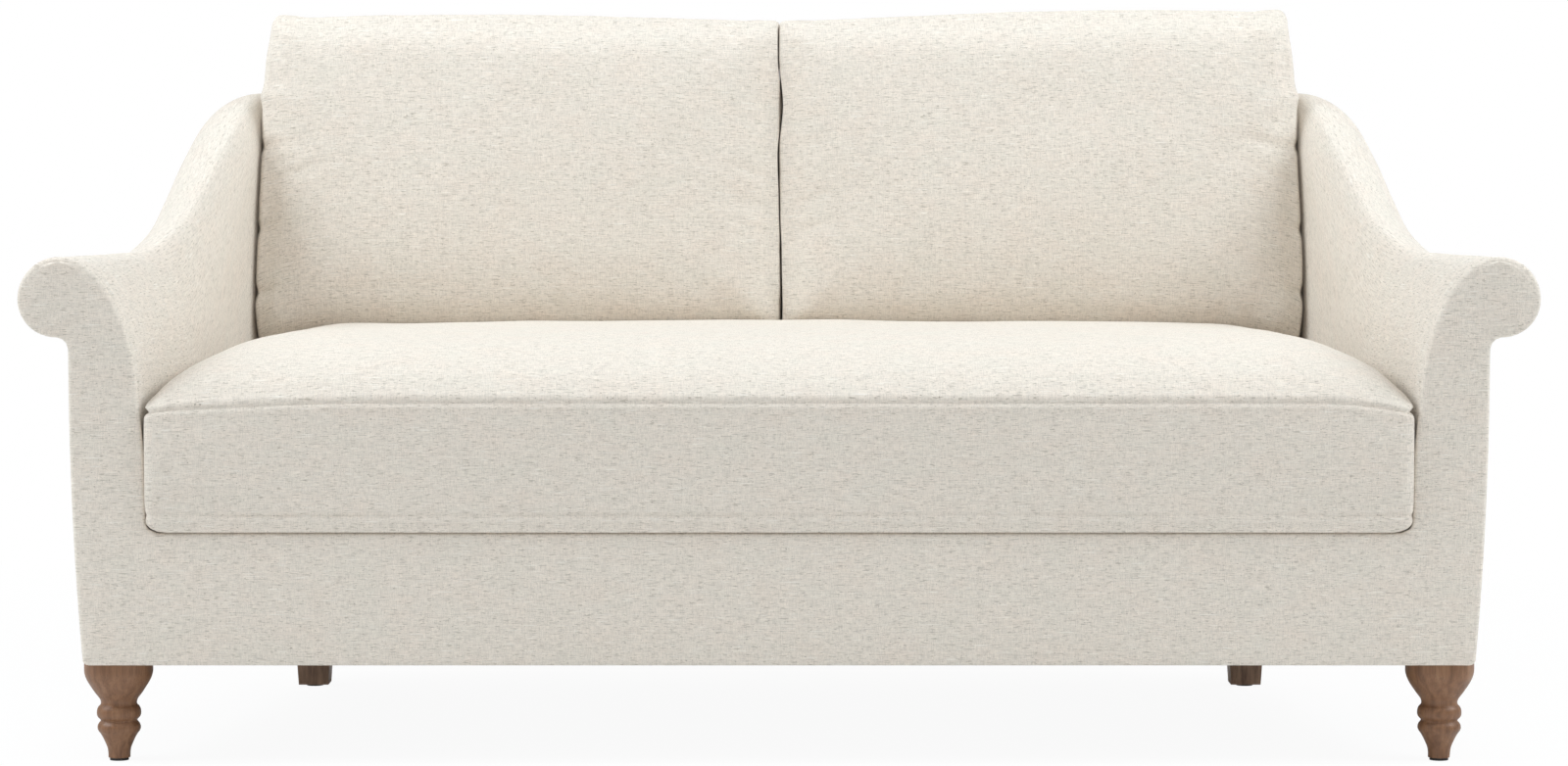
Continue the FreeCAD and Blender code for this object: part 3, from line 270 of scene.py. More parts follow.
def setInputs(tree, node, inputs):
    # another node's output is linked, anything else is the socket's own value
    for key, value in inputs.items():
        if isinstance(value, bpy.types.NodeSocket):
            tree.links.new(value, node.inputs[key])
        else:
            node.inputs[key].default_value = value


def addNode(tree, kind, inputs, **settings):
    node = tree.nodes.new("ShaderNode" + kind)
    for key, value in settings.items():
        setattr(node, key, value)
    setInputs(tree, node, inputs)
    return node


def newMaterial(name, look, *values):
    # look builds the nodes and returns the shader's inputs
    material = bpy.data.materials.new(name)
    material.use_nodes = True
    tree = material.node_tree
    setInputs(tree, tree.nodes["Principled BSDF"], look(tree, *values))
    return material


def objectPlace(tree):
    return addNode(tree, "TexCoord", {}).outputs["Object"]


def addNoise(tree, source, stretch, scale, detail, roughness, distortion=0.0):
    # noise on stretched coordinates
    inputs = {
        "Vector": addNode(tree, "Mapping", {"Vector": source, "Scale": stretch}).outputs["Vector"],
        "Scale": scale,
        "Detail": detail,
        "Roughness": roughness,
        "Distortion": distortion,
    }
    return addNode(tree, "TexNoise", inputs).outputs["Fac"]


def addRamp(tree, source, *stops):
    # a stop is a position with a colour or with a grey value
    node = addNode(tree, "ValToRGB", {"Fac": source})
    elements = node.color_ramp.elements
    elements[0].position, elements[1].position = stops[0][0], stops[-1][0]
    for number, (position, tone) in enumerate(stops):
        colour = (*tone, 1) if isinstance(tone, tuple) else (tone, tone, tone, 1)
        if number == 0:
            elements[0].color = colour
        elif number == len(stops) - 1:
            elements[number].color = colour
        else:
            elements.new(position).color = colour
    return node.outputs["Color"]


def addMix(tree, factor, a, b, blend="MIX"):
    inputs = {"Factor": factor, "A": a, "B": (*b, 1) if isinstance(b, tuple) else b}
    return addNode(tree, "Mix", inputs, data_type="RGBA", blend_type=blend).outputs["Result"]


def darken(tree, colour, noise, *stops):
    return addMix(tree, 1.0, colour, addRamp(tree, noise, *stops), "MULTIPLY")


def addMath(tree, operation, a, b):
    return addNode(tree, "Math", {0: a, 1: b}, operation=operation).outputs[0]


def addBump(tree, height, strength, distance):
    inputs = {"Height": height, "Strength": strength, "Distance": distance}
    return addNode(tree, "Bump", inputs).outputs["Normal"]


linen = {
    "ivory": (0.775, 0.704, 0.615),
    "warm": (0.780, 0.697, 0.605),
    "cool": (0.760, 0.699, 0.610),
    "fleck": (0.40, 0.350, 0.285),
    "nub": (0.31, 0.265, 0.210),
    "slub": (0.88, 0.845, 0.775),
    "thread": 0.0011,  # pitch of the weave
    "weaveHeight": 0.0006,
}


def linenTweed(tree):
    # flecks and slubs run along the weft; a plain weave and its fuzz make the bump
    flat = addNode(tree, "UVMap", {}, uv_map="cloth").outputs["UV"]
    patch = addNoise(tree, flat, (1, 1.6, 1), 16, 3, 0.6)
    colour = addRamp(tree, patch, (0.32, linen["warm"]), (0.5, linen["ivory"]), (0.68, linen["cool"]))
    weft = addNoise(tree, flat, (75, 760, 1), 1, 2, 0.6)
    warp = addNoise(tree, flat, (760, 90, 1), 1, 2, 0.6)
    grain = addNoise(tree, flat, (1, 1, 1), 900, 2, 0.7)
    clump = addNoise(tree, flat, (1, 4, 1), 42, 4, 0.72)
    for noise, *stops in (
        (weft, (0.34, 0.885), (0.5, 0.985), (0.66, 1.035)),
        (clump, (0.32, 0.945), (0.5, 1.0), (0.68, 1.04)),
        (warp, (0.34, 0.89), (0.5, 0.985), (0.66, 1.035)),
        (grain, (0.30, 0.86), (0.5, 1.0), (0.72, 1.07)),
    ):
        colour = darken(tree, colour, noise, *stops)
    # flecks, nubs and slubs: the noise's stretch, where it starts to show, and how strongly
    for stretch, start, stop, strength, tone in (
        ((85, 700, 1), 0.635, 0.68, 0.68, "fleck"),
        ((260, 620, 1), 0.685, 0.73, 0.72, "nub"),
        ((34, 560, 1), 0.65, 0.72, 0.55, "slub"),
    ):
        mask = addRamp(tree, addNoise(tree, flat, stretch, 1, 1, 0.5), (start, 0), (stop, strength))
        colour = addMix(tree, mask, colour, linen[tone])
    threads = []
    for turn in (0.0, math.pi / 2):
        mapping = addNode(tree, "Mapping", {"Rotation": (0, 0, turn), "Vector": flat})
        inputs = {
            "Vector": mapping.outputs["Vector"],
            "Scale": 1 / (linen["thread"] * 20),
            "Distortion": 1.2,
            "Detail": 2,
            "Detail Scale": 2.5,
        }
        wave = addNode(tree, "TexWave", inputs, wave_type="BANDS", bands_direction="X")
        threads.append(wave.outputs["Fac"])
    height = addMath(tree, "ADD", addMath(tree, "MAXIMUM", *threads), weft)
    height = addMath(tree, "ADD", height, warp)
    return {
        "Base Color": colour,
        "Normal": addBump(tree, height, 0.40, linen["weaveHeight"]),
        "Roughness": 0.92,
        "Specular IOR Level": 0.22,
        "Sheen Weight": 0.12,
        "Sheen Roughness": 0.45,
    }


def stainedWood(tree, dark, stain, light, gloss):
    # upright grain from noise stretched along Z, with pores and rubbed edges
    position = objectPlace(tree)
    rings = addNoise(tree, position, (1, 1, 0.10), 110, 4, 0.6, 0.4)
    pores = addNoise(tree, position, (1, 1, 0.035), 900, 2, 0.6)
    worn = addNoise(tree, position, (1, 1, 1), 55, 3, 0.6)
    colour = addRamp(tree, rings, (0.32, dark), (0.50, stain), (0.70, light))
    colour = darken(tree, colour, pores, (0.36, 0.74), (0.47, 1.0))
    colour = addMix(tree, addRamp(tree, worn, (0.60, 0), (0.78, 0.35)), colour, light)
    return {
        "Base Color": colour,
        "Roughness": addRamp(tree, worn, (0.3, gloss - 0.06), (0.7, gloss + 0.10)),
        "Normal": addBump(tree, addMath(tree, "ADD", pores, rings), 0.35, 0.0006),
        "Specular IOR Level": 0.4,
    }


def plainCloth(tree, colour, shade, pitch):
    # a flat cloth on Object coordinates: crossing threads and a soft mottle
    position = objectPlace(tree)
    mottle = addNoise(tree, position, (1, 1, 1), 30, 3, 0.6)
    threads = addNoise(tree, position, (1, 6, 1), 1 / pitch, 2, 0.6)
    cross = addNoise(tree, position, (6, 1, 1), 1 / pitch, 2, 0.6)
    both = addMath(tree, "MAXIMUM", threads, cross)
    tone = addRamp(tree, mottle, (0.3, shade), (0.7, colour))
    return {
        "Base Color": darken(tree, tone, both, (0.4, 0.82), (0.7, 1.05)),
        "Normal": addBump(tree, both, 0.5, 0.0006),
        "Roughness": 0.95,
    }


def sawnTimber(tree, light, dark):
    # planed hardwood inside the frame, grain along X
    grain = addNoise(tree, objectPlace(tree), (0.06, 1, 1), 120, 4, 0.6, 0.6)
    return {
        "Base Color": addRamp(tree, grain, (0.3, dark), (0.7, light)),
        "Normal": addBump(tree, grain, 0.3, 0.0008),
        "Roughness": 0.65,
    }


def drawnSteel(tree, colour, rough):
    smear = addNoise(tree, objectPlace(tree), (1, 1, 1), 140, 3, 0.6)
    darker = tuple(c * 0.8 for c in colour)
    return {
        "Base Color": addRamp(tree, smear, (0.3, darker), (0.7, colour)),
        "Roughness": addRamp(tree, smear, (0.3, rough - 0.08), (0.7, rough + 0.14)),
        "Metallic": 1.0,
    }


def mouldedNylon(tree, colour):
    position = objectPlace(tree)
    grain = addNoise(tree, position, (1, 1, 1), 1400, 2, 0.5)
    scuff = addNoise(tree, position, (1, 1, 1), 120, 4, 0.6)
    lighter = tuple(min(c * 1.5 + 0.01, 1) for c in colour)
    return {
        "Base Color": addRamp(tree, scuff, (0.45, colour), (0.75, lighter)),
        "Normal": addBump(tree, grain, 0.25, 0.0003),
        "Roughness": 0.55,
    }


wood = {
    "front": ((0.165, 0.078, 0.038), (0.235, 0.115, 0.057), (0.295, 0.155, 0.080), 0.42),
    # the rear feet's colours are painted light: they stand well above the front's to make up for the shade the
    # feet sit in under the sofa
    "rear": ((0.22, 0.130, 0.082), (0.34, 0.205, 0.130), (0.44, 0.275, 0.175), 0.45),
}
linenMat = newMaterial("ivory_linen", linenTweed)
footMat = newMaterial("turned_foot_wood", stainedWood, *wood["front"])
slotMaterials = {
    "linen": linenMat,
    "deck_cloth": newMaterial("deck_cloth", plainCloth, (0.72, 0.67, 0.58), (0.64, 0.59, 0.50), 0.0016),
    "padding": newMaterial("padding", plainCloth, (0.86, 0.84, 0.78), (0.78, 0.75, 0.68), 0.004),
    "dust_cloth": newMaterial("dust_cloth", plainCloth, (0.020, 0.020, 0.021), (0.012, 0.012, 0.013), 0.0022),
    "webbing": newMaterial("jute_webbing", plainCloth, (0.42, 0.31, 0.19), (0.30, 0.21, 0.12), 0.0018),
    "frame_timber": newMaterial("frame_timber", sawnTimber, (0.55, 0.36, 0.19), (0.36, 0.22, 0.11)),
    "fibreboard": newMaterial("fibreboard", sawnTimber, (0.26, 0.17, 0.10), (0.19, 0.12, 0.07)),
    "foot_wood": footMat,
    # the rear feet take the lightened wood, painted light against the shade under the sofa
    "dark_foot_wood": newMaterial("rear_foot_wood", stainedWood, *wood["rear"]),
    "plated_steel": newMaterial("plated_steel", drawnSteel, (0.58, 0.57, 0.54), 0.35),
    "spring_steel": newMaterial("spring_steel", drawnSteel, (0.16, 0.16, 0.17), 0.42),
    "zip_tape": newMaterial("zip_tape", plainCloth, (0.70, 0.65, 0.56), (0.60, 0.55, 0.47), 0.0008),
    "zip_metal": newMaterial("zip_metal", drawnSteel, (0.50, 0.48, 0.44), 0.28),
    "glide_plastic": newMaterial("glide_nylon", mouldedNylon, (0.020, 0.018, 0.016)),
}
for part in frame["record"]["subparts"]:
    node = frame["nodes"][part["node"]]
    node.data.materials.clear()
    node.data.materials.append(slotMaterials[part["material_slot"]])
print("materials done")


# arms

def armSizes(s):
    # the arm's outline at share s of the depth: the roll dies away as the top sweeps up to the back
    sweep = ease((s - arm["sweepStart"]) / (arm["sweepEnd"] - arm["sweepStart"]))
    over = mix(arm["over"], arm["overBack"], ease(s / arm["rollEnd"]))
    outer = mix(body["outerFront"], body["outerBack"], s)
    top = mix(arm["top"], body["high"], sweep)
    tip = outer + over
    return {
        "inner": mix(body["innerFront"], body["innerBack"], s),
        "outer": outer,
        "top": top,
        "tip": tip,
        "ridge": tip - mix(arm["roll"], arm["shoulderRun"], sweep),
        "roll": top - mix(arm["roll"], arm["shoulderRise"], sweep),
        "bend": top - mix(arm["flareFront"], arm["flareBack"], sweep),
        "low": arm["lowShare"] * over,
        "notch": (1 - arm["lowShare"]) * over,
    }


def quarter(start, corner, end, steps):
    # a quarter of an ellipse from start to end, leaving and arriving along the lines to corner
    t = np.linspace(0, math.pi / 2, steps + 1)[:, None]
    return corner + (start - corner) * (1 - np.sin(t)) + (end - corner) * (1 - np.cos(t))


def openLine(start, end, count):
    # evenly spaced points from start on, without the end
    return mix(start, end, np.linspace(0, 1, count, endpoint=False)[:, None])


def sideBow(outer, z):
    # below the lean height the outside bows in like a parabola
    below = np.maximum(body["leanHeight"] - z, 0) / (body["leanHeight"] - body["low"])
    return outer - body["sideLean"] * below**2


def armOutline(s, inset, zLow, steps):
    # up the inside, over the roll, round under it and down the outside to a small turn at the bottom
    a = armSizes(s)
    wall, tip, top = a["inner"] + inset, a["tip"] - inset, a["top"] - inset
    side, under = a["outer"] - inset, a["roll"] - a["low"] + inset
    foot = a["roll"] - a["low"] - a["notch"]
    # where the quarters meet, with the corner of each between
    corners = [(wall, a["bend"]), (wall, top), (a["ridge"], top), (tip, top), (tip, a["roll"])]
    corners = np.array(corners + [(tip, under), (a["tip"] - a["low"], under), (side, under), (side, foot)])
    points = [mix(np.array([wall, zLow]), corners[0], np.linspace(0, 1, steps[0] + 1)[:, None])]
    for k in range(4):
        points.append(quarter(*corners[2 * k : 2 * k + 3], steps[k + 1])[1:])
    z = np.linspace(foot, body["hem"] + arm["hem"], steps[5] + 1)[1:]
    points.append(np.stack([sideBow(side, z), z], axis=1))
    end = points[-1][-1]
    ground = np.array([end[0], body["hem"]])
    points.append(quarter(end, ground, ground - np.array([arm["hem"], 0]), steps[6])[1:])
    return np.concatenate(points)


def depthAt(s, z):
    # share s of the depth at height z, which leans with the back
    lean = body["rake"] * (z - body["low"]) / (body["high"] - body["low"])
    return body["frontY"] + s * (body["depth"] + lean)


def buildArm(side):
    # rows of the outline from the front seam to the back; the first and last rows turn in to their seams
    front, rear = np.array(arm["frontTurn"]), np.array(arm["backTurn"])
    first, last = arm["seam"] / body["depth"], 1 - arm["backSeam"] / body["depth"]
    between = np.linspace(first + 0.008, last - 0.008, 120)
    shares = np.concatenate([first + front[:, 0], between, last - rear[:, 0]])
    insets = np.concatenate([front[:, 1], between * 0, rear[:, 1]])
    rows = []
    for s, inset in zip(shares, insets):
        outline = armOutline(s, inset, body["deck"] - arm["tuck"], arm["steps"])
        x, z = np.concatenate([outline, outline[-1:] - np.array([0.012, 0.0])]).T
        rows.append(np.stack([x, depthAt(s, z), z], axis=-1))
    grid = np.array(rows)
    normal = unitNormals(grid)
    # padding: broad unevenness everywhere, and a few soft drags where the top turns upward
    drag = softNoise(grid * np.array([2.2, 0.7, 1.0]), 0.045, 5)
    depth = (grid[..., 1] - body["frontY"]) / body["depth"]
    fade = ease(depth / 0.06) * ease((1 - depth) / 0.05)
    hollow = ease((grid[..., 2] - body["deck"]) / 0.05)
    shift = arm["soft"] * unevenness(grid, 0.16, 0.07, 3) + arm["drag"] * bump(depth - 0.36, 0.14) * drag
    grid = grid - normal * (shift * fade * hollow)[..., None]
    grid[..., 0] *= side
    word = wordOf(side)
    piece = makePiece("arm_cover_" + word, grid, linenMat, flip=side > 0)
    return place(piece, "root", "linen", "inside_arm_cover_" + word, "outside_arm_cover_" + word)


for side in (-1, 1):
    buildArm(side)
print("arms done")


# front panel: one cloth over the apron and both scroll ends

panel = {
    "edge": 0.0065,  # roundness of its edge
    "lip": (0.062, 0.03),  # how far its first two rows run back over the deck
    "tuck": ((0.004, 0.0035), (0.0015, 0.0022)),  # the two rows beyond the edge: in from it, and behind it
    "under": 0.012,  # how far the last row runs back under the apron
    "puff": 0.0022,
    "wave": 0.0016,
    "reach": 0.0075,  # how far the facings swell in towards the seat cushion
    "fillet": 0.014,  # roundness of the corners where they meet the apron
    "halfRows": 90,  # points along one scroll end, and along the apron between them
    "apronRows": 150,
    "acrossRows": 44,
    "turnRows": 7,
}


def resample(points, count):
    # evenly spaced points along a polyline
    length = pathLengths(points)
    target = np.linspace(0, 1, count) * length[-1]
    return np.stack([np.interp(target, length, points[:, k]) for k in range(2)], axis=1)


def outwards(points, sign):
    tangent = np.gradient(points, axis=0)
    tangent /= np.maximum(np.linalg.norm(tangent, axis=1, keepdims=True), 1e-9)
    return sign * np.stack([-tangent[:, 1], tangent[:, 0]], axis=1)


mirror = np.array([-1, 1])


def bothSides(half):
    # the left half, the straight line between the two and the right half
    line = openLine(half[-1] * mirror, half[-1], panel["apronRows"])[1:]
    return np.concatenate([half * mirror, line, half[::-1]])


def buildPanel():
    # ruled between an inner edge (arm, deck, arm) and an outer edge (scroll, side, bottom, side, scroll),
    # with both edges turned back round a quarter circle
    outline = armOutline(0.0, 0.0, body["deck"], arm["steps"])
    crest, hem = arm["steps"][0] + arm["steps"][1], len(outline) - arm["steps"][6]
    count = panel["halfRows"]
    down = [resample(outline[crest:hem], count - 7), resample(outline[hem - 1 :], 8)[1:]]
    inner = bothSides(resample(outline[: crest + 1][::-1], count))
    outer = bothSides(np.concatenate(down))
    near = panel["reach"] * ease((armSizes(0.0)["bend"] + 0.03 - inner[:, 1]) / 0.10)
    near += panel["fillet"] * (1 - quarterRise((inner[:, 1] - body["deck"]) / panel["fillet"]))
    nearIn = inner * np.stack([1 - near / body["innerFront"], np.ones(len(inner))], axis=1)
    innerOut, outerOut = outwards(inner, 1), outwards(outer, -1)
    level = np.zeros(len(inner))  # 1 along the deck and the bottom
    level[count:-count] = 1
    free = (1 - level)[:, None]
    r = panel["edge"]
    (tuck, behind), (tuckNear, behindNear) = panel["tuck"]

    def row(flat, depth):
        y = body["frontY"] + np.broadcast_to(depth, len(flat))
        return np.stack([flat[:, 0], y, flat[:, 1]], axis=1)

    def turned(flat, out, t):
        return row(flat - out * r * (1 - math.sin(t)), r * (1 - math.cos(t)))

    turn = np.linspace(0, math.pi / 2, panel["turnRows"])
    rows = [
        row(inner - innerOut * tuck * free, np.where(level > 0, panel["lip"][0], r + behind)),
        row(inner - innerOut * tuckNear * free, np.where(level > 0, panel["lip"][1], r + behindNear)),
    ]
    rows += [turned(nearIn, innerOut, t) for t in turn[::-1]]
    for t in np.linspace(0, 1, panel["acrossRows"] + 2)[1:-1]:
        flat = mix(nearIn - innerOut * r, outer - outerOut * r, t)
        rows.append(row(flat, -panel["puff"] * (1 - abs(2 * t - 1) ** 3)))
    rows += [turned(outer, outerOut, t) for t in turn]
    rows.append(row(outer - outerOut * tuckNear * free, r + behindNear))
    rows.append(row(outer - outerOut * tuck * free, r + behind + panel["under"] * level))
    grid = np.array(rows)
    share = np.linspace(0, 1, len(grid))[:, None]
    inside = ease(np.minimum(share, 1 - share) / 0.3)
    inside[:2] = inside[-2:] = 0
    grid[..., 1] += panel["wave"] * unevenness(grid, 0.22, 0.08, 11, 0.3) * inside
    uv = grid[..., ::2].copy()
    uv[:2, :, 1] += np.array(panel["lip"])[:, None] * level
    piece = makePiece("front_panel", grid, linenMat, uv=uv)
    nodes = ("front_border_cover", "arm_facing_cover_left", "arm_facing_cover_right")
    return place(piece, "root", "linen", *nodes)


buildPanel()
print("front panel done")


# back

back = {
    "face": 1 - body["backThick"] / body["depth"],
    "round": 0.032,
    "rear": 0.004,  # rear plane to the top's last seam
    "dent": 0.0015,  # how far the padding sinks at least, and the unevenness on it
    "soft": 0.0012,
    "edge": ((0.004, 0.004), (0.0015, 0.0025)),  # the rear panel's first two rows: in from its edge, before it
    "spine": 0.44,
}


def buildBackFront():
    # up the front of the back, round its top edge and over to the rear seam, carried from arm to arm
    high = body["high"]
    crest = high - back["round"]
    top = back["face"] + back["round"] / body["depth"]
    seam = back["rear"] / body["depth"]
    t = np.linspace(0, math.pi / 2, 14)
    rise = np.linspace(body["deck"] - arm["tuck"], crest, 41)[:-1]
    over = np.linspace(top, 1 - seam, 26)[1:]
    turn = back["face"] + (top - back["face"]) * (1 - np.cos(t))
    s = np.concatenate([np.full(40, back["face"]), turn, over, [1 - seam * 0.6]])
    z = np.concatenate([rise, crest + back["round"] * np.sin(t), np.full(25, high), [high - 0.0035]])
    u = np.linspace(-1, 1, 150)[:, None]
    x = u * (mix(body["innerFront"], body["innerBack"], s) + 0.002)
    grid = np.stack(np.broadcast_arrays(x, depthAt(s, z), z), axis=-1)
    edge = ease((1 - np.abs(u)) / 0.05)
    onTop = ease((z - crest) / back["round"])
    noise = softNoise(grid, 0.15, 21)
    grid[..., 2] -= (back["dent"] + back["soft"] * noise) * edge * onTop * (s < 0.985)
    grid[..., 1] += back["dent"] * (noise + 1) * edge * (1 - onTop)
    piece = makePiece("inside_back", grid, linenMat)
    return place(piece, "root", "linen", "inside_back_cover")


def evened(loop, reach):
    # each point of a loop becomes the mean of its neighbours as far as reach
    return np.mean([np.roll(loop, k, axis=0) for k in range(-reach, reach + 1)], axis=0)


def buildBackRear():
    # the outline of both arms' outsides, the top between them and the bottom, with its edge turned in round a
    # quarter circle and its face filled towards a spine
    steps = (2, 2, 26, 10, 6, 60, 8)
    outline = armOutline(1.0, 0.0, body["deck"], steps)
    long, short = 150, 110
    side = resample(outline[sum(steps[:2]) :], short + 1)
    bottom = openLine(side[-1] * mirror, side[-1], long)
    top = openLine(side[0], side[0] * mirror, long)
    loop = np.concatenate([bottom, side[::-1][:-1], top, (side * mirror)[:-1]])
    out = evened(loopOut(loop), 1)
    r = panel["edge"]
    spine = spineOf(back["spine"], (body["low"] + body["high"]) / 2, long, short)
    rows = [loop - out * inward for inward, before in back["edge"]]
    depths = [r + before for inward, before in back["edge"]]
    for t in np.linspace(math.pi / 2, 0, panel["turnRows"]):
        rows.append(loop - out * r * (1 - math.sin(t)))
        depths.append(r * (1 - math.cos(t)))
    edgeRows = len(rows)
    face = loop - out * r
    even = evened(face, 7)
    for t in np.linspace(0, 1, 40)[1:]:
        rows.append(mix(mix(face, even, ease(t / 0.16)), spine, t))
        depths.append(0.0)
    x, z = np.moveaxis(np.array(rows), -1, 0)
    y = depthAt(1, z) - np.array(depths)[:, None] - 0.001
    grid = np.stack([x, y, z], axis=-1)
    noise = softNoise(grid, 0.25, 31)
    faceRow = ease((np.arange(len(grid)) - edgeRows + 1) / 10)[:, None]
    grid[..., 1] -= 0.0014 * (noise + 1) / 2 * faceRow
    uvs = closeColumns(grid)[None, ..., ::2] * mirror
    piece = weldedPiece("outside_back", grid, uvs, np.zeros(len(grid), int), linenMat, flip=True)
    return place(piece, "root", "linen", "outside_back_cover")


buildBackFront()
buildBackRear()
print("back done")


# loose cushions

seat = {
    "front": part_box("seat_cushion_cover")[0].y,
    "rear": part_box("seat_cushion_cover")[1].y,
    "low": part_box("seat_cushion_cover")[0].z,
    "seam": 0.4605,
    "lowSeam": 0.3175,
    "crown": 0.067,  # height over the top seam at the middle, and nearer the rim
    "edge": 0.062,
    "edgeRun": 0.150,  # how far in from the rim that height is reached
    "frontRound": 0.42,
    "rearRound": 0.28,
    "corner": 0.012,
    "underRound": 0.015,
    "belly": 0.0020,  # swell of the boxing
    "frontCorner": 0.014,  # roundness of the front's four corners
    "sideGap": -0.0010,  # the sides press into the facings
    "spineEnd": 0.36,  # from the sides to the ends of the spine
    "dip": 0.009,  # how far the top seam sinks towards the front corners, and how far from them it starts
    "dipLeft": 0.27,
    "dipRight": 0.11,
    # each seam's puckers (depth, pitch, reach) and the groove along it (width, depth)
    "topSeam": (0.0006, 0.034, 0.016, 0.0028, 0.0024),
    "underSeam": (0.0004, 0.040, 0.014, 0.0028, 0.0022),
    "soft": (0.0036, 0.0012),  # unevenness of the top, and of the rest
    "voxel": 0.011,
    "blown": 0.3,  # share taken of the cloth simulation
    "zip": {"ends": 0.006, "gap": 0.0025, "sides": 0.004, "depth": 0.001},  # margins of its channel
    "fill": 0.75,
}


def roundedLoop(corners, radii, long, short):
    # a quadrilateral with rounded corners, anticlockwise from the end of its first corner; the first and third
    # sides have long points, and the other two, with the corners on either end, have short points
    corners = np.array(corners, float)
    arcs = []
    for k in range(4):
        before, here, after = corners[k - 1], corners[k], corners[(k + 1) % 4]
        start = here + (before - here) / np.linalg.norm(before - here) * radii[k]
        end = here + (after - here) / np.linalg.norm(after - here) * radii[k]
        arcs.append(quarter(start, here, end, 11))
    sides = []
    for k in (0, 2):
        sides.append(openLine(arcs[k][-1], arcs[k + 1][0], long))
        sides.append(resample(np.concatenate([arcs[k + 1], arcs[(k + 2) % 4]]), short + 1)[:-1])
    return np.concatenate(sides)


def wallAt(y):
    # the inner face of the arm
    return mix(body["innerFront"], body["innerBack"], (y - body["frontY"]) / body["depth"])


def seatTop(x, y):
    # the crown: rises quickly from the seams, higher at the middle
    u = np.clip((y - seat["front"]) / (seat["rear"] - seat["front"]), 0, 1)
    k = quarterRise(u / seat["frontRound"]) * quarterRise((1 - u) / seat["rearRound"])
    rim = wallAt(y) - seat["sideGap"] - seat["edgeRun"]
    over = np.clip((np.abs(x) - rim) / seat["edgeRun"], 0, 1)
    edge = seat["edge"] * k * np.sqrt(1 - over**2)
    middle = (seat["crown"] - seat["edge"]) * k * (1 - np.clip(np.abs(x) / rim, 0, 1) ** 2)
    return seat["seam"] + edge + middle


def seatShape(long, short):
    # rings from the underside's spine out, up the boxing and back over the crown to the top's spine
    front, rear = seat["front"], seat["rear"]
    wide = body["innerFront"] - panel["reach"] - seat["sideGap"]
    narrow = wallAt(rear) - 0.0015

    def inset(d):
        # the outline drawn in by d, its corners rounded by what is left of their radius
        corners = [(d - wide, front + d), (wide - d, front + d), (narrow - d, rear - d), (d - narrow, rear - d)]
        return roundedLoop(corners, [max(seat["corner"] - d, 0.003)] * 4, long, short)

    loop = inset(0)
    spine = spineOf(wide - seat["spineEnd"], (front + rear) / 2, long, short)
    out = loopOut(loop)
    corner = np.linalg.norm(np.abs(loop) - np.array([wide, -front]), axis=1)
    corner = np.where(loop[:, 1] > 0, 1.0, corner)
    dip = seat["dip"] * ease(1 - corner / np.where(loop[:, 0] < 0, seat["dipLeft"], seat["dipRight"]))
    dip = dip + 0.005 * np.clip(1 - corner / 0.05, 0, 1) ** 2
    low, lowSeam, seam = seat["low"] + 0.0004, seat["lowSeam"], seat["seam"]
    r = seat["underRound"]
    rings, heights, panels = [], [], []

    def add(ring, height, number):
        rings.append(ring)
        heights.append(np.broadcast_to(height, len(loop)))
        panels.append(number)

    for t in np.linspace(1, 0.06, 16):
        add(mix(inset(r + 0.002), spine, t), low, 0)
    for t in np.linspace(0, math.pi / 2, 12):
        add(inset(r * (1 - math.sin(t))), low + r * (1 - math.cos(t)), 1)
    for drop in (0.0050, 0.0036, 0.0024, 0.0012, 0.0003):
        add(loop, lowSeam - drop, 1)
    for t in (0.006, 0.014, 0.024, 0.036, *np.linspace(0.05, 0.95, 38), 0.964, 0.976, 0.986, 0.994):
        add(loop + out * seat["belly"] * (1 - abs(2 * t - 1) ** 3), mix(lowSeam, seam - dip, t), 1)
    for t in (0.0008, 0.004, 0.009, *(1 - np.cos(np.linspace(0.17, math.pi / 2, 62)))):
        flat = mix(loop, spine, t)
        away = np.linalg.norm(flat - loop, axis=1)
        add(flat, seatTop(*flat.T) - dip * np.exp(-away / 0.05), 2)
    grid = np.concatenate([np.array(rings), np.array(heights)[..., None]], axis=2)
    return loop, grid, np.array(panels), dip


def closeNormals(grid):
    # normals of closed rings, the same way out everywhere; along a spine they are a cubic in x, so that
    # both of its sides share them
    normal = unitNormals(grid, wrap=True)
    centre = grid.reshape(-1, 3).mean(axis=0)
    facing = np.sum((grid - centre) * normal, axis=-1)
    normal *= np.sign(np.median(facing))
    for row, near in ((0, 2), (-1, -3)):
        x = grid[row, :, 0]
        powers = np.stack([x**k for k in range(4)], axis=1)
        fit = np.linalg.lstsq(powers, normal[near], rcond=None)[0]
        normal[row] = powers @ fit
        normal[row] /= np.linalg.norm(normal[row], axis=1, keepdims=True)
    return normal


cloth = {
    "inset": 0.008,  # the simulated shape is smaller all round
    "frames": 20,
    "cap": 0.026,  # farthest that a point may move
    "settings": {
        "quality": 5,
        "mass": 0.3,
        "tension_stiffness": 15,
        "compression_stiffness": 15,
        "shear_stiffness": 5,
        "bending_stiffness": 0.5,
        "use_pressure": True,
        "uniform_pressure_force": 4,
    },
}


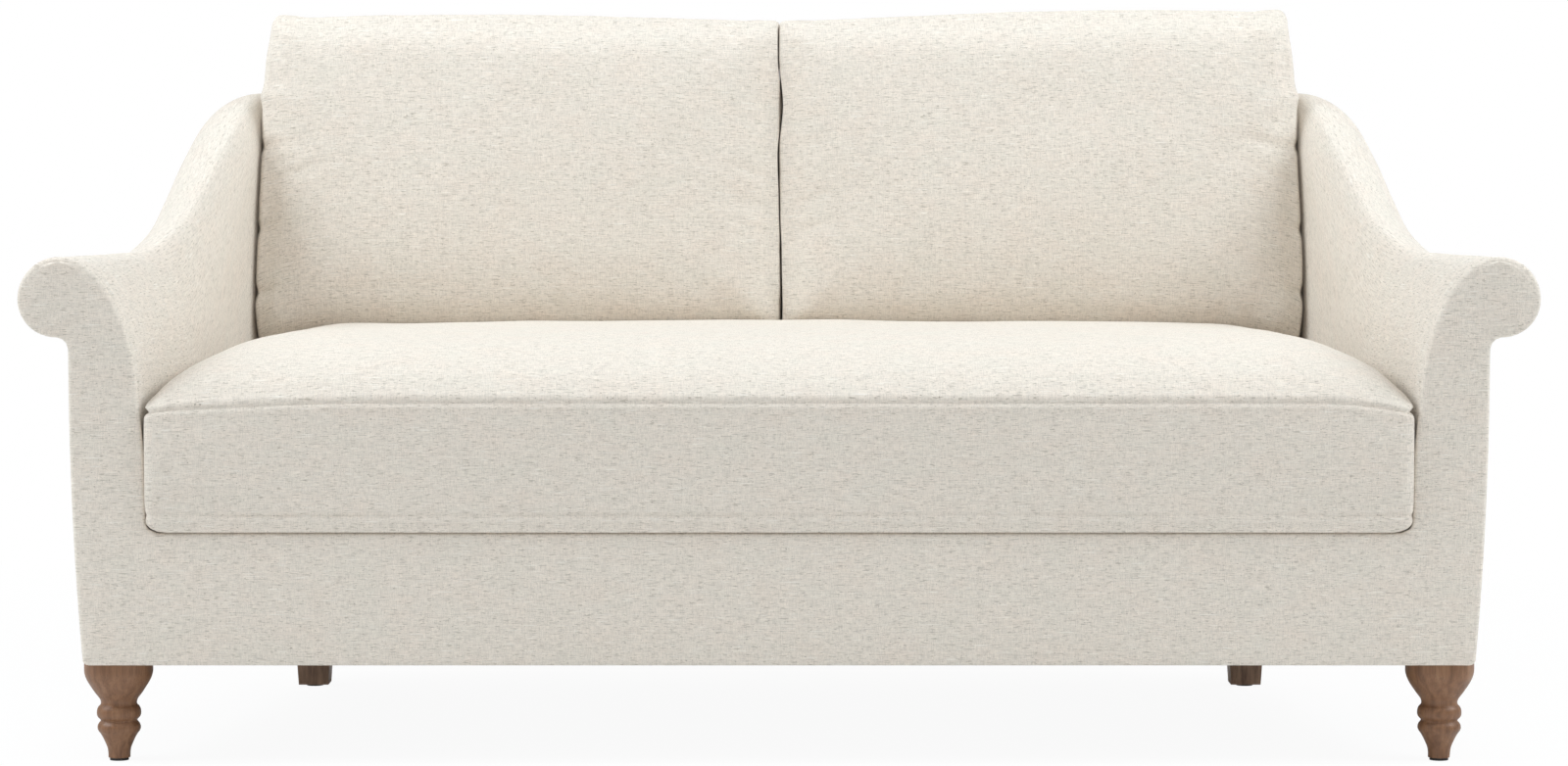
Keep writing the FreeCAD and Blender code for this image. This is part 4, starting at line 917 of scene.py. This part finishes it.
def simulated(name, grid, voxel):
    # the closed rings are remeshed and blown up as cloth; returns how far each point of the grid is carried
    n, m = grid.shape[:2]
    rest = weldedPiece(name + "_rest", grid, np.zeros((1, n, m + 1, 2)), np.zeros(n, int), linenMat)
    remesh = rest.modifiers.new("remesh", "REMESH")
    remesh.mode = "VOXEL"
    remesh.voxel_size = voxel
    bpy.context.view_layer.objects.active = rest
    bpy.ops.object.modifier_apply(modifier="remesh")
    points = bpy.data.meshes.new(name + "_points")
    points.from_pydata(grid.reshape(-1, 3).tolist(), [], [])
    carried = bpy.data.objects.new(name + "_points", points)
    scene.collection.objects.link(carried)
    follow = carried.modifiers.new("follow", "SURFACE_DEFORM")
    follow.target = rest
    follow.falloff = 4
    bpy.context.view_layer.objects.active = carried
    bpy.ops.object.surfacedeform_bind(modifier="follow")

    def pointsOf(piece):
        values = np.empty(len(piece.data.vertices) * 3, np.float32)
        piece.data.vertices.foreach_get("co", values)
        return values.reshape(-1, 3)

    before = pointsOf(rest)
    blow = rest.modifiers.new("cloth", "CLOTH")
    for key, value in cloth["settings"].items():
        setattr(blow.settings, key, value)
    blow.settings.effector_weights.gravity = 0
    blow.point_cache.frame_start, blow.point_cache.frame_end = 1, cloth["frames"]
    for number in range(cloth["frames"]):
        scene.frame_set(number + 1)
    after = pointsOf(rest.evaluated_get(bpy.context.evaluated_depsgraph_get()))
    rest.modifiers.remove(blow)
    move = after - before
    length = np.linalg.norm(move, axis=1, keepdims=True)
    move *= cloth["cap"] * np.tanh(length / cloth["cap"]) / np.maximum(length, 1e-9)
    rest.data.vertices.foreach_set("co", (before + move).astype(np.float32).ravel())
    rest.data.update()
    followed = pointsOf(carried.evaluated_get(bpy.context.evaluated_depsgraph_get()))
    scene.frame_set(1)
    bpy.data.objects.remove(carried)
    bpy.data.objects.remove(rest)
    print(name, "blown up", len(before), "points")
    return followed.reshape(n, m, 3) - grid


def blownUp(name, grid, panels, sizes, firm):
    # each point goes out by as much as the simulation carries it farther than the boxing
    normal = closeNormals(grid)
    carried = simulated(name, grid - normal * cloth["inset"], sizes["voxel"])
    push = np.sum(carried * normal, axis=-1)
    push -= np.median(push[panels == 1])
    grid = grid + normal * (sizes["blown"] * push * firm)[..., None]
    return grid, closeNormals(grid)


def seamRelief(along, away, seed, sizes, vary=1):
    # short folds square to a seam, fading away from it, whose noise runs round the loop, and a groove: cloth on
    # both sides of the seam swells up to it and dives in
    height, pitch, reach, width, depth = sizes
    turn = along[:-1] / along[-1] * 2 * math.pi
    ring = along[-1] / (2 * math.pi)
    x, y = np.broadcast_to(np.cos(turn) * ring, away.shape), np.broadcast_to(np.sin(turn) * ring, away.shape)
    points = np.stack([x, y, away * 0.3], axis=-1)
    folds = unevenness(points, pitch, pitch * 0.45, seed, 0.35) * np.exp(-away / reach)
    groove = -depth * bump(away, width) + 0.35 * depth * bump(away - 2.4 * width, 1.6 * width)
    return height * folds + groove * vary


def pressChannel(grid, node, margin, near):
    # the cloth is pressed in to take a zip, less and less over the margins beyond its ends and sides
    low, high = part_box(node)
    x, y, z = np.moveaxis(grid, -1, 0)
    end = margin["ends"]
    ends = ease((x - low.x + end) / end) * ease((high.x + end - x) / end)
    reach = (high.z - low.z) / 2 + margin["gap"] + margin["sides"]
    sides = ease((reach - np.abs(z - (low.z + high.z) / 2)) / margin["sides"])
    depth = np.maximum(y - (low.y - margin["depth"]), 0)
    y -= np.where(near, depth * ends * sides, 0)


def buildSeat():
    loop, grid, panels, dip = seatShape(300, 150)
    lengths = loopLengths(loop)
    # top and underside lie flat in the cloth's coordinates, the boxing runs round the loop
    closed = closeColumns(grid)
    flat = closed[..., :2]
    band = np.stack([np.broadcast_to(lengths, closed.shape[:2]), closed[..., 2]], axis=-1)
    uvs = np.stack([flat * -mirror, band, flat])
    away = np.linalg.norm(grid[..., :2] - loop, axis=-1)
    fromTop = np.sqrt(away**2 + (grid[..., 2] - seat["seam"] + dip) ** 2)
    fromLow = np.sqrt(away**2 + (grid[..., 2] - seat["lowSeam"]) ** 2)
    grid, normal = blownUp("seat", grid, panels, seat, ease(fromTop / 0.05) * ease(fromLow / 0.04))
    vary = 0.55 + 0.45 * softNoise(grid * np.array([1, 1, 0]), 0.11, 46)
    amount = seamRelief(lengths, fromTop, 41, seat["topSeam"])
    amount += seamRelief(lengths, fromLow, 43, seat["underSeam"], vary)
    soft = np.where(panels[:, None] == 2, *seat["soft"]) * unevenness(grid, 0.21, 0.085, 44)
    amount += soft * (1 - np.exp(-np.minimum(fromTop, fromLow) / 0.03))
    grid = grid + normal * amount[..., None]
    x, y, z = np.moveaxis(grid, -1, 0)
    # the corners of the front are drawn in, most at the bottom
    fromCorner = np.minimum(z - seat["low"], 0.004 + np.abs(seat["seam"] - dip - z))
    drawn = seat["frontCorner"] * (1 - quarterRise(fromCorner / seat["frontCorner"]))
    drawn *= ease((np.abs(x) - 0.70) / 0.09) * ease((seat["front"] + 0.07 - y) / 0.05)
    x -= np.sign(x) * drawn
    # the underside rests on the deck, the sides stay within the arms and the rear clear of the back
    z[:] = np.maximum(z, seat["low"])
    limit = np.minimum(wallAt(y) - 0.0012, body["innerFront"] - panel["reach"] + 0.0012)
    x[:] = np.clip(x, -limit, limit)
    y[:] = np.minimum(y, seat["rear"])
    pressChannel(grid, "seat_cushion_zip", seat["zip"], y > seat["rear"] - 0.02)
    piece = weldedPiece("seat_cushion", grid, uvs, panels, linenMat)
    return place(piece, "seat_cushion", "linen", "seat_cushion_cover", "seat_cushion_core")


buildSeat()
print("seat cushion done")


pillow = {
    "size": (0.715, 0.425),  # the flat cloth
    "edge": 0.010,  # roundness of the rear's edge
    "nearRadius": 0.014,  # of the lower corners: where the two meet, and beside the arm
    "armRadius": 0.024,
    "topRadius": 0.012,
    "middle": -0.0035,  # the two press together past the middle plane
    "sideGap": -0.0045,  # and into the arm's padding
    "thickLow": 0.196,
    "thickHigh": 0.128,
    "roll": 0.034,  # how far the face falls back to its seam
    "rollRun": 0.060,
    "rollSide": 0.013,  # the same along the middle and beside the arm
    "rearSeam": 0.07,  # share of the thickness
    "bulge": 0.014,
    "top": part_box("back_cushion_cover_left")[1].z,
    "dome": 0.012,
    "ear": 0.006,
    "lift": (0.005, 0.013),  # how much higher the outer end of the left and right one stands
    "taper": (0.005, 0.008),  # how far the outer edge draws in towards the seat
    "shoulder": 0.7375,  # above the arm the free side draws in from here
    "lean": 0.014,
    "overArm": 0.010,
    "wave": 0.0042,  # wander of the line where they meet
    "gathers": ((0.782, 0.0046), (0.667, 0.0038), (0.579, 0.0046)),  # height and depth of those beside the arm
    "frontSeam": (0.0012, 0.034, 0.022, 0.0032, 0.0034),
    "backSeam": (0.0009, 0.034, 0.018, 0.0030, 0.0028),
    "soft": (0.0040, 0.001),
    "voxel": 0.0085,
    "blown": 0.4,
    "zip": {"ends": 0.008, "gap": 0.003, "sides": 0.005, "depth": 0.0012},
    "fill": 0.8,
}


def rearPlane(z):
    # the front face of the sofa's back
    return depthAt(back["face"], z)


def pillowRings(side):
    # rings from the rear face's spine out over the boxing and back over the full front to its spine, with
    # each ring's share of the way forward and its panel
    long, short = 200, 130
    wide, tall = pillow["size"]
    corners = np.array(pillow["size"]) / 2 * np.array([(-1, -1), (1, -1), (1, 1), (-1, 1)])
    radii = [pillow["nearRadius"], pillow["armRadius"]][::side] + [pillow["topRadius"]] * 2
    loop = roundedLoop(corners, radii, long, short)
    spine = spineOf((wide - tall) / 2, 0.0, long, short)
    out = loopOut(loop)
    r = pillow["edge"]
    rows = [mix(loop - out * r, spine, t) for t in (*np.linspace(1, 0.36, 12), *np.linspace(0.34, 0.03, 24))]
    shares = [0.0] * len(rows)
    for t in np.linspace(0, math.pi / 2, 9):
        rows.append(loop - out * r * (1 - math.sin(t)))
        shares.append(pillow["rearSeam"] * (1 - math.cos(t)))
    panels = [0] * len(rows)
    for t in np.linspace(0.085, 0.985, 34):
        rows.append(loop)
        shares.append(t)
        panels.append(1)
    for t in (0.0008, 0.006, 0.014, *(1 - np.cos(np.linspace(0.21, math.pi / 2, 66)))):
        rows.append(mix(loop, spine, t))
        shares.append(1.0)
        panels.append(2)
    return loop, np.array(rows), np.array(shares)[:, None], np.array(panels)


def buildPillow(side):
    loop, flat, share, panels = pillowRings(side)
    wide, tall = pillow["size"]
    lengths = loopLengths(loop)
    onFront = panels[:, None] == 2
    away = np.linalg.norm(flat - loop, axis=-1)
    # shares of the width, from where the two meet to the arm, and of the height
    a = np.clip(flat[..., 0] / wide + 0.5, 0, 1)
    a = a if side > 0 else 1 - a
    b = np.clip(flat[..., 1] / tall + 0.5, 0, 1)
    # the bottom lies on the crown; the top is a shallow dome with small ears, and rises outwards
    contactY = rearPlane(seat["seam"]) - pillow["thickLow"]
    nearX = mix(pillow["middle"], wallAt(rearPlane(seat["seam"])) - pillow["sideGap"], a)
    low = seatTop(nearX, np.full_like(nearX, contactY + 0.02)) + 0.0012
    ear = pillow["ear"] * (bump(a - 0.985, 0.035) + 0.5 * bump(a - 0.015, 0.03))
    high = pillow["top"] - pillow["dome"] * (1 - 0.8 * np.sin(math.pi * a) ** 0.6) + ear
    high = high + pillow["lift"][side > 0] * ease(a * 1.15)
    z = mix(low, high, b)
    free = pillow["shoulder"] - pillow["lean"] * ease((z - 0.82) / 0.06) - 0.006 * ease((z - 0.88) / 0.08)
    overArm = pillow["overArm"] * ease((z - 0.83) / 0.05)
    rear = rearPlane(z) - 0.0006
    # the face falls back to its seam by a quarter round, tighter at both sides of the cushion
    toSide = ease(1 - np.minimum(a, 1 - a) / 0.10) * ease(b / 0.15) * ease((1 - b) / 0.12)
    run = mix(pillow["rollRun"], pillow["rollSide"] * 1.4, toSide)
    roll = mix(pillow["roll"], pillow["rollSide"], toSide)
    rise = np.where(onFront, quarterRise(away / run), 0)
    swell = pillow["bulge"] * np.sin(math.pi * a) ** 0.7 * np.sin(math.pi * b) ** 0.8
    seamDepth = mix(pillow["thickLow"], pillow["thickHigh"], b) - pillow["roll"] + (pillow["roll"] - roll)
    yWall = rear - share * seamDepth
    y = yWall - rise * roll - np.where(onFront, swell, 0)
    taper = pillow["taper"][side > 0] * ease((0.30 - b) / 0.34)
    x = mix(pillow["middle"], np.minimum(free, wallAt(yWall) - pillow["sideGap"] + overArm) - taper, a)
    grid = np.stack([x * side, y, z], axis=-1)
    uvFlat = closeColumns(flat)
    band = np.stack(np.broadcast_arrays(lengths, share * 0.14), axis=-1)
    uvs = np.stack([uvFlat * mirror, band, uvFlat])
    fromFront = np.sqrt(away**2 + ((1 - share) * seamDepth) ** 2)
    fromRear = np.sqrt(away**2 + ((share - pillow["rearSeam"]) * seamDepth) ** 2)
    firm = ease(a / 0.06) * ease(fromFront / 0.04) * ease(fromRear / 0.04)
    grid, normal = blownUp("pillow", grid, panels, pillow, firm)
    seed = 60 if side < 0 else 80
    amount = seamRelief(lengths, fromFront, seed, pillow["frontSeam"])
    amount += seamRelief(lengths, fromRear, seed + 3, pillow["backSeam"])
    for height, depth in pillow["gathers"]:
        amount -= depth * bump(z - height - 0.1 * away, 0.009) * np.exp(-fromFront / 0.030) * (a > 0.5)
    soft = np.where(onFront, *pillow["soft"]) * unevenness(grid, 0.17, 0.07, seed + 6)
    amount += soft * (1 - np.exp(-fromFront / 0.04))
    grid = grid + normal * amount[..., None]
    # clear of the other cushion, the arm, the back and the seat
    wander = softNoise(np.stack([z * 0, z * 0, z], axis=-1), 0.07, 77)
    x, y, z = np.moveaxis(grid, -1, 0)
    frontward = ease((rear - y - 0.07) / 0.05)
    meet = 0.0002 + frontward * (0.0007 + side * pillow["wave"] * wander)
    x[:] = np.clip(x * side, meet, wallAt(y) - pillow["sideGap"] + 0.001 + overArm) * side
    y[:] = np.minimum(y, rearPlane(z) - 0.0005)
    z[:] = np.maximum(z, seatTop(x, np.minimum(y, contactY + 0.06)) + 0.0008)
    word = wordOf(side)
    pressChannel(grid, "back_cushion_zip_" + word, pillow["zip"], panels[:, None] == 0)
    piece = weldedPiece("back_cushion_" + word, grid, uvs, panels, linenMat)
    nodes = ("back_cushion_cover_" + word, "back_cushion_fill_" + word)
    return place(piece, word + "_back_cushion", "linen", *nodes)


for side in (-1, 1):
    buildPillow(side)
print("back cushions done")


# deck cloth, seen when the seat cushion is pulled out

def buildDeck():
    low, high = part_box("deck_cover")
    u, v = np.meshgrid(np.linspace(-1, 1, 160), np.linspace(0, 1, 70), indexing="ij")
    y = mix(low.y, high.y, v)
    x = u * (wallAt(y) - 0.0006)
    edge = ease((1 - np.abs(u)) / 0.03) * ease((1 - v) / 0.03) * ease(v / 0.02)
    wave = softNoise(np.stack([x, y, x * 0], axis=-1), 0.09, 91)
    z = high.z - 0.0004 - 0.0012 * (1 + wave) / 2 * edge - 0.001 * (1 - edge)
    piece = makePiece("deck_cloth", np.stack([x, y, z], axis=-1), slotMaterials["deck_cloth"])
    return place(piece, "root", "deck_cloth", "deck_cover")


buildDeck()


# feet

foot = {
    "sides": 112,
    "pathPoints": 150,
    "wear": 0.00025,
    # height and radius down the turning: the block under the frame, the cup, the ring, the taper
    "profile": (
        *((0.1300, 0.0419), (0.1275, 0.0431), (0.1200, 0.0436), (0.1125, 0.0434), (0.1060, 0.0416)),
        *((0.0994, 0.0383), (0.0934, 0.0345), (0.0874, 0.0304), (0.0824, 0.0266), (0.0790, 0.0242)),
        *((0.0765, 0.0232), (0.0735, 0.0229), (0.0712, 0.0236), (0.0690, 0.0258), (0.0660, 0.0274)),
        *((0.0622, 0.0281), (0.0588, 0.0280), (0.0556, 0.0268), (0.0532, 0.0246), (0.0514, 0.0233)),
        *((0.0498, 0.0240), (0.0476, 0.0258), (0.0446, 0.0272), (0.0412, 0.0275), (0.0378, 0.0262)),
        *((0.0347, 0.0239), (0.0304, 0.0213), (0.0251, 0.0187), (0.0205, 0.0167), (0.0156, 0.0150)),
        *((0.0110, 0.0143), (0.0060, 0.0139), (0.0034, 0.0136), (0.0031, 0.0120)),
    ),
}


def smoothPath(points, count):
    # a cubic through the points, evenly spaced
    p = np.array(points)
    length = pathLengths(p)
    slope = np.gradient(p, length, axis=0)
    t = np.linspace(0, length[-1], count)
    k = np.clip(np.searchsorted(length, t, side="right") - 1, 0, len(p) - 2)
    h = (length[k + 1] - length[k])[:, None]
    s = ((t - length[k])[:, None]) / h
    return (
        (2 * s**3 - 3 * s**2 + 1) * p[k]
        + (s**3 - 2 * s**2 + s) * h * slope[k]
        + (3 * s**2 - 2 * s**3) * p[k + 1]
        + (s**3 - s**2) * h * slope[k + 1]
    )


def buildFrontFoot(side):
    # the profile turned about its upright axis
    word = wordOf(side)
    low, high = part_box("front_foot_" + word)
    path = smoothPath(foot["profile"], foot["pathPoints"])
    path[0, 0] = high.z - 0.0002
    angle = np.linspace(0, 2 * math.pi, foot["sides"], endpoint=False)
    z, radius = path[:, :1], path[:, 1:]
    x = (low.x + high.x) / 2 + radius * np.cos(angle)
    y = (low.y + high.y) / 2 + radius * np.sin(angle)
    grid = np.stack(np.broadcast_arrays(x, y, z), axis=-1)
    wear = foot["wear"] * softNoise(grid, 0.012, 97)
    grid[..., :2] += wear[..., None] * np.stack([np.cos(angle), np.sin(angle)], axis=-1)
    piece = makePiece("turned_foot_" + word, grid, footMat, closed=True)
    return place(piece, "root", "foot_wood", "front_foot_" + word)


for side in (-1, 1):
    buildFrontFoot(side)
print("feet done")


# floor, light and camera

stage = {
    "half": 30,  # of the floor
    "fade": (0.9, 2.6),  # the floor's shadow dies away between these distances from the middle
    "white": 0.94,  # share of plain white that the camera sees under the sofa
    "sky": 0.42,  # strength of the white surroundings as light
    "warm": (1, 0.985, 0.95),
    "cold": (0.87, 0.94, 1.0),
    # place, aim, width and power
    "top": ((0.0, -0.9, 3.6), (0, -0.1, 0.3), 3.4, 44),
    "front": ((0.6, -5.2, 2.4), (0, 0, 0.45), 3.2, 12),
    "left": ((-3.1, -0.7, 2.7), (0.7, 0, 0.5), 2.2, 86),
    "right": ((3.1, -0.7, 2.7), (-0.7, 0, 0.5), 2.2, 83),
}


def buildStage():
    mesh = bpy.data.meshes.new("studio_floor")
    h = stage["half"]
    mesh.from_pydata([(-h, -h, 0), (h, -h, 0), (h, h, 0), (-h, h, 0)], [], [(0, 1, 2, 3)])
    floor = bpy.data.objects.new("studio_floor", mesh)
    scene.collection.objects.link(floor)
    # the camera sees plain white all round, with only a trace of the shadow near the sofa
    matt = {"Base Color": (0.90, 0.90, 0.90, 1), "Roughness": 0.9, "Specular IOR Level": 0.0}
    material = newMaterial("studio_white", lambda tree: matt)
    tree = material.node_tree
    white = tree.nodes["Principled BSDF"].outputs["BSDF"]
    glow = addNode(tree, "Emission", {"Color": (1, 1, 1, 1)}).outputs["Emission"]
    away = addNode(tree, "VectorMath", {0: objectPlace(tree)}, operation="LENGTH").outputs["Value"]
    near, far = stage["fade"]
    inputs = {"Value": away, "From Min": near, "From Max": far, "To Min": stage["white"]}
    reach = addNode(tree, "MapRange", inputs).outputs["Result"]
    seen = addMath(tree, "MULTIPLY", reach, addNode(tree, "LightPath", {}).outputs["Is Camera Ray"])
    both = addNode(tree, "MixShader", {"Fac": seen, 1: white, 2: glow}).outputs["Shader"]
    setInputs(tree, tree.nodes["Material Output"], {"Surface": both})
    mesh.materials.append(material)
    for name in ("top", "front", "left", "right"):
        spot, aim, size, power = stage[name]
        data = bpy.data.lights.new(name, "AREA")
        data.shape = "DISK"
        data.size = size
        data.energy = power
        data.color = stage["warm"] if name == "front" else stage["cold"]
        lamp = bpy.data.objects.new(name, data)
        lamp.location = spot
        lamp.rotation_euler = (Vector(aim) - Vector(spot)).to_track_quat("-Z", "Y").to_euler()
        scene.collection.objects.link(lamp)
    world = bpy.data.worlds.new("studio")
    world.use_nodes = True
    # white to the camera, weaker as light
    tree = world.node_tree
    sky = addNode(tree, "LightPath", {}).outputs["Is Camera Ray"]
    strength = addNode(tree, "MapRange", {"Value": sky, "To Min": stage["sky"]}).outputs["Result"]
    setInputs(tree, tree.nodes["Background"], {"Color": (1, 1, 1, 1), "Strength": strength})
    scene.world = world


buildStage()
camera = bpy.data.objects.new("camera", bpy.data.cameras.new("camera"))
camera.location = (0.0062, -5.8565, 0.782)
camera.rotation_euler = (math.radians(90 - 3.15), 0, 0)
camera.data.lens = 98.5
camera.data.sensor_width = 36
camera.data.clip_end = 60
scene.collection.objects.link(camera)
scene.camera = camera
scene.view_settings.view_transform = "Standard"
print("stage done")
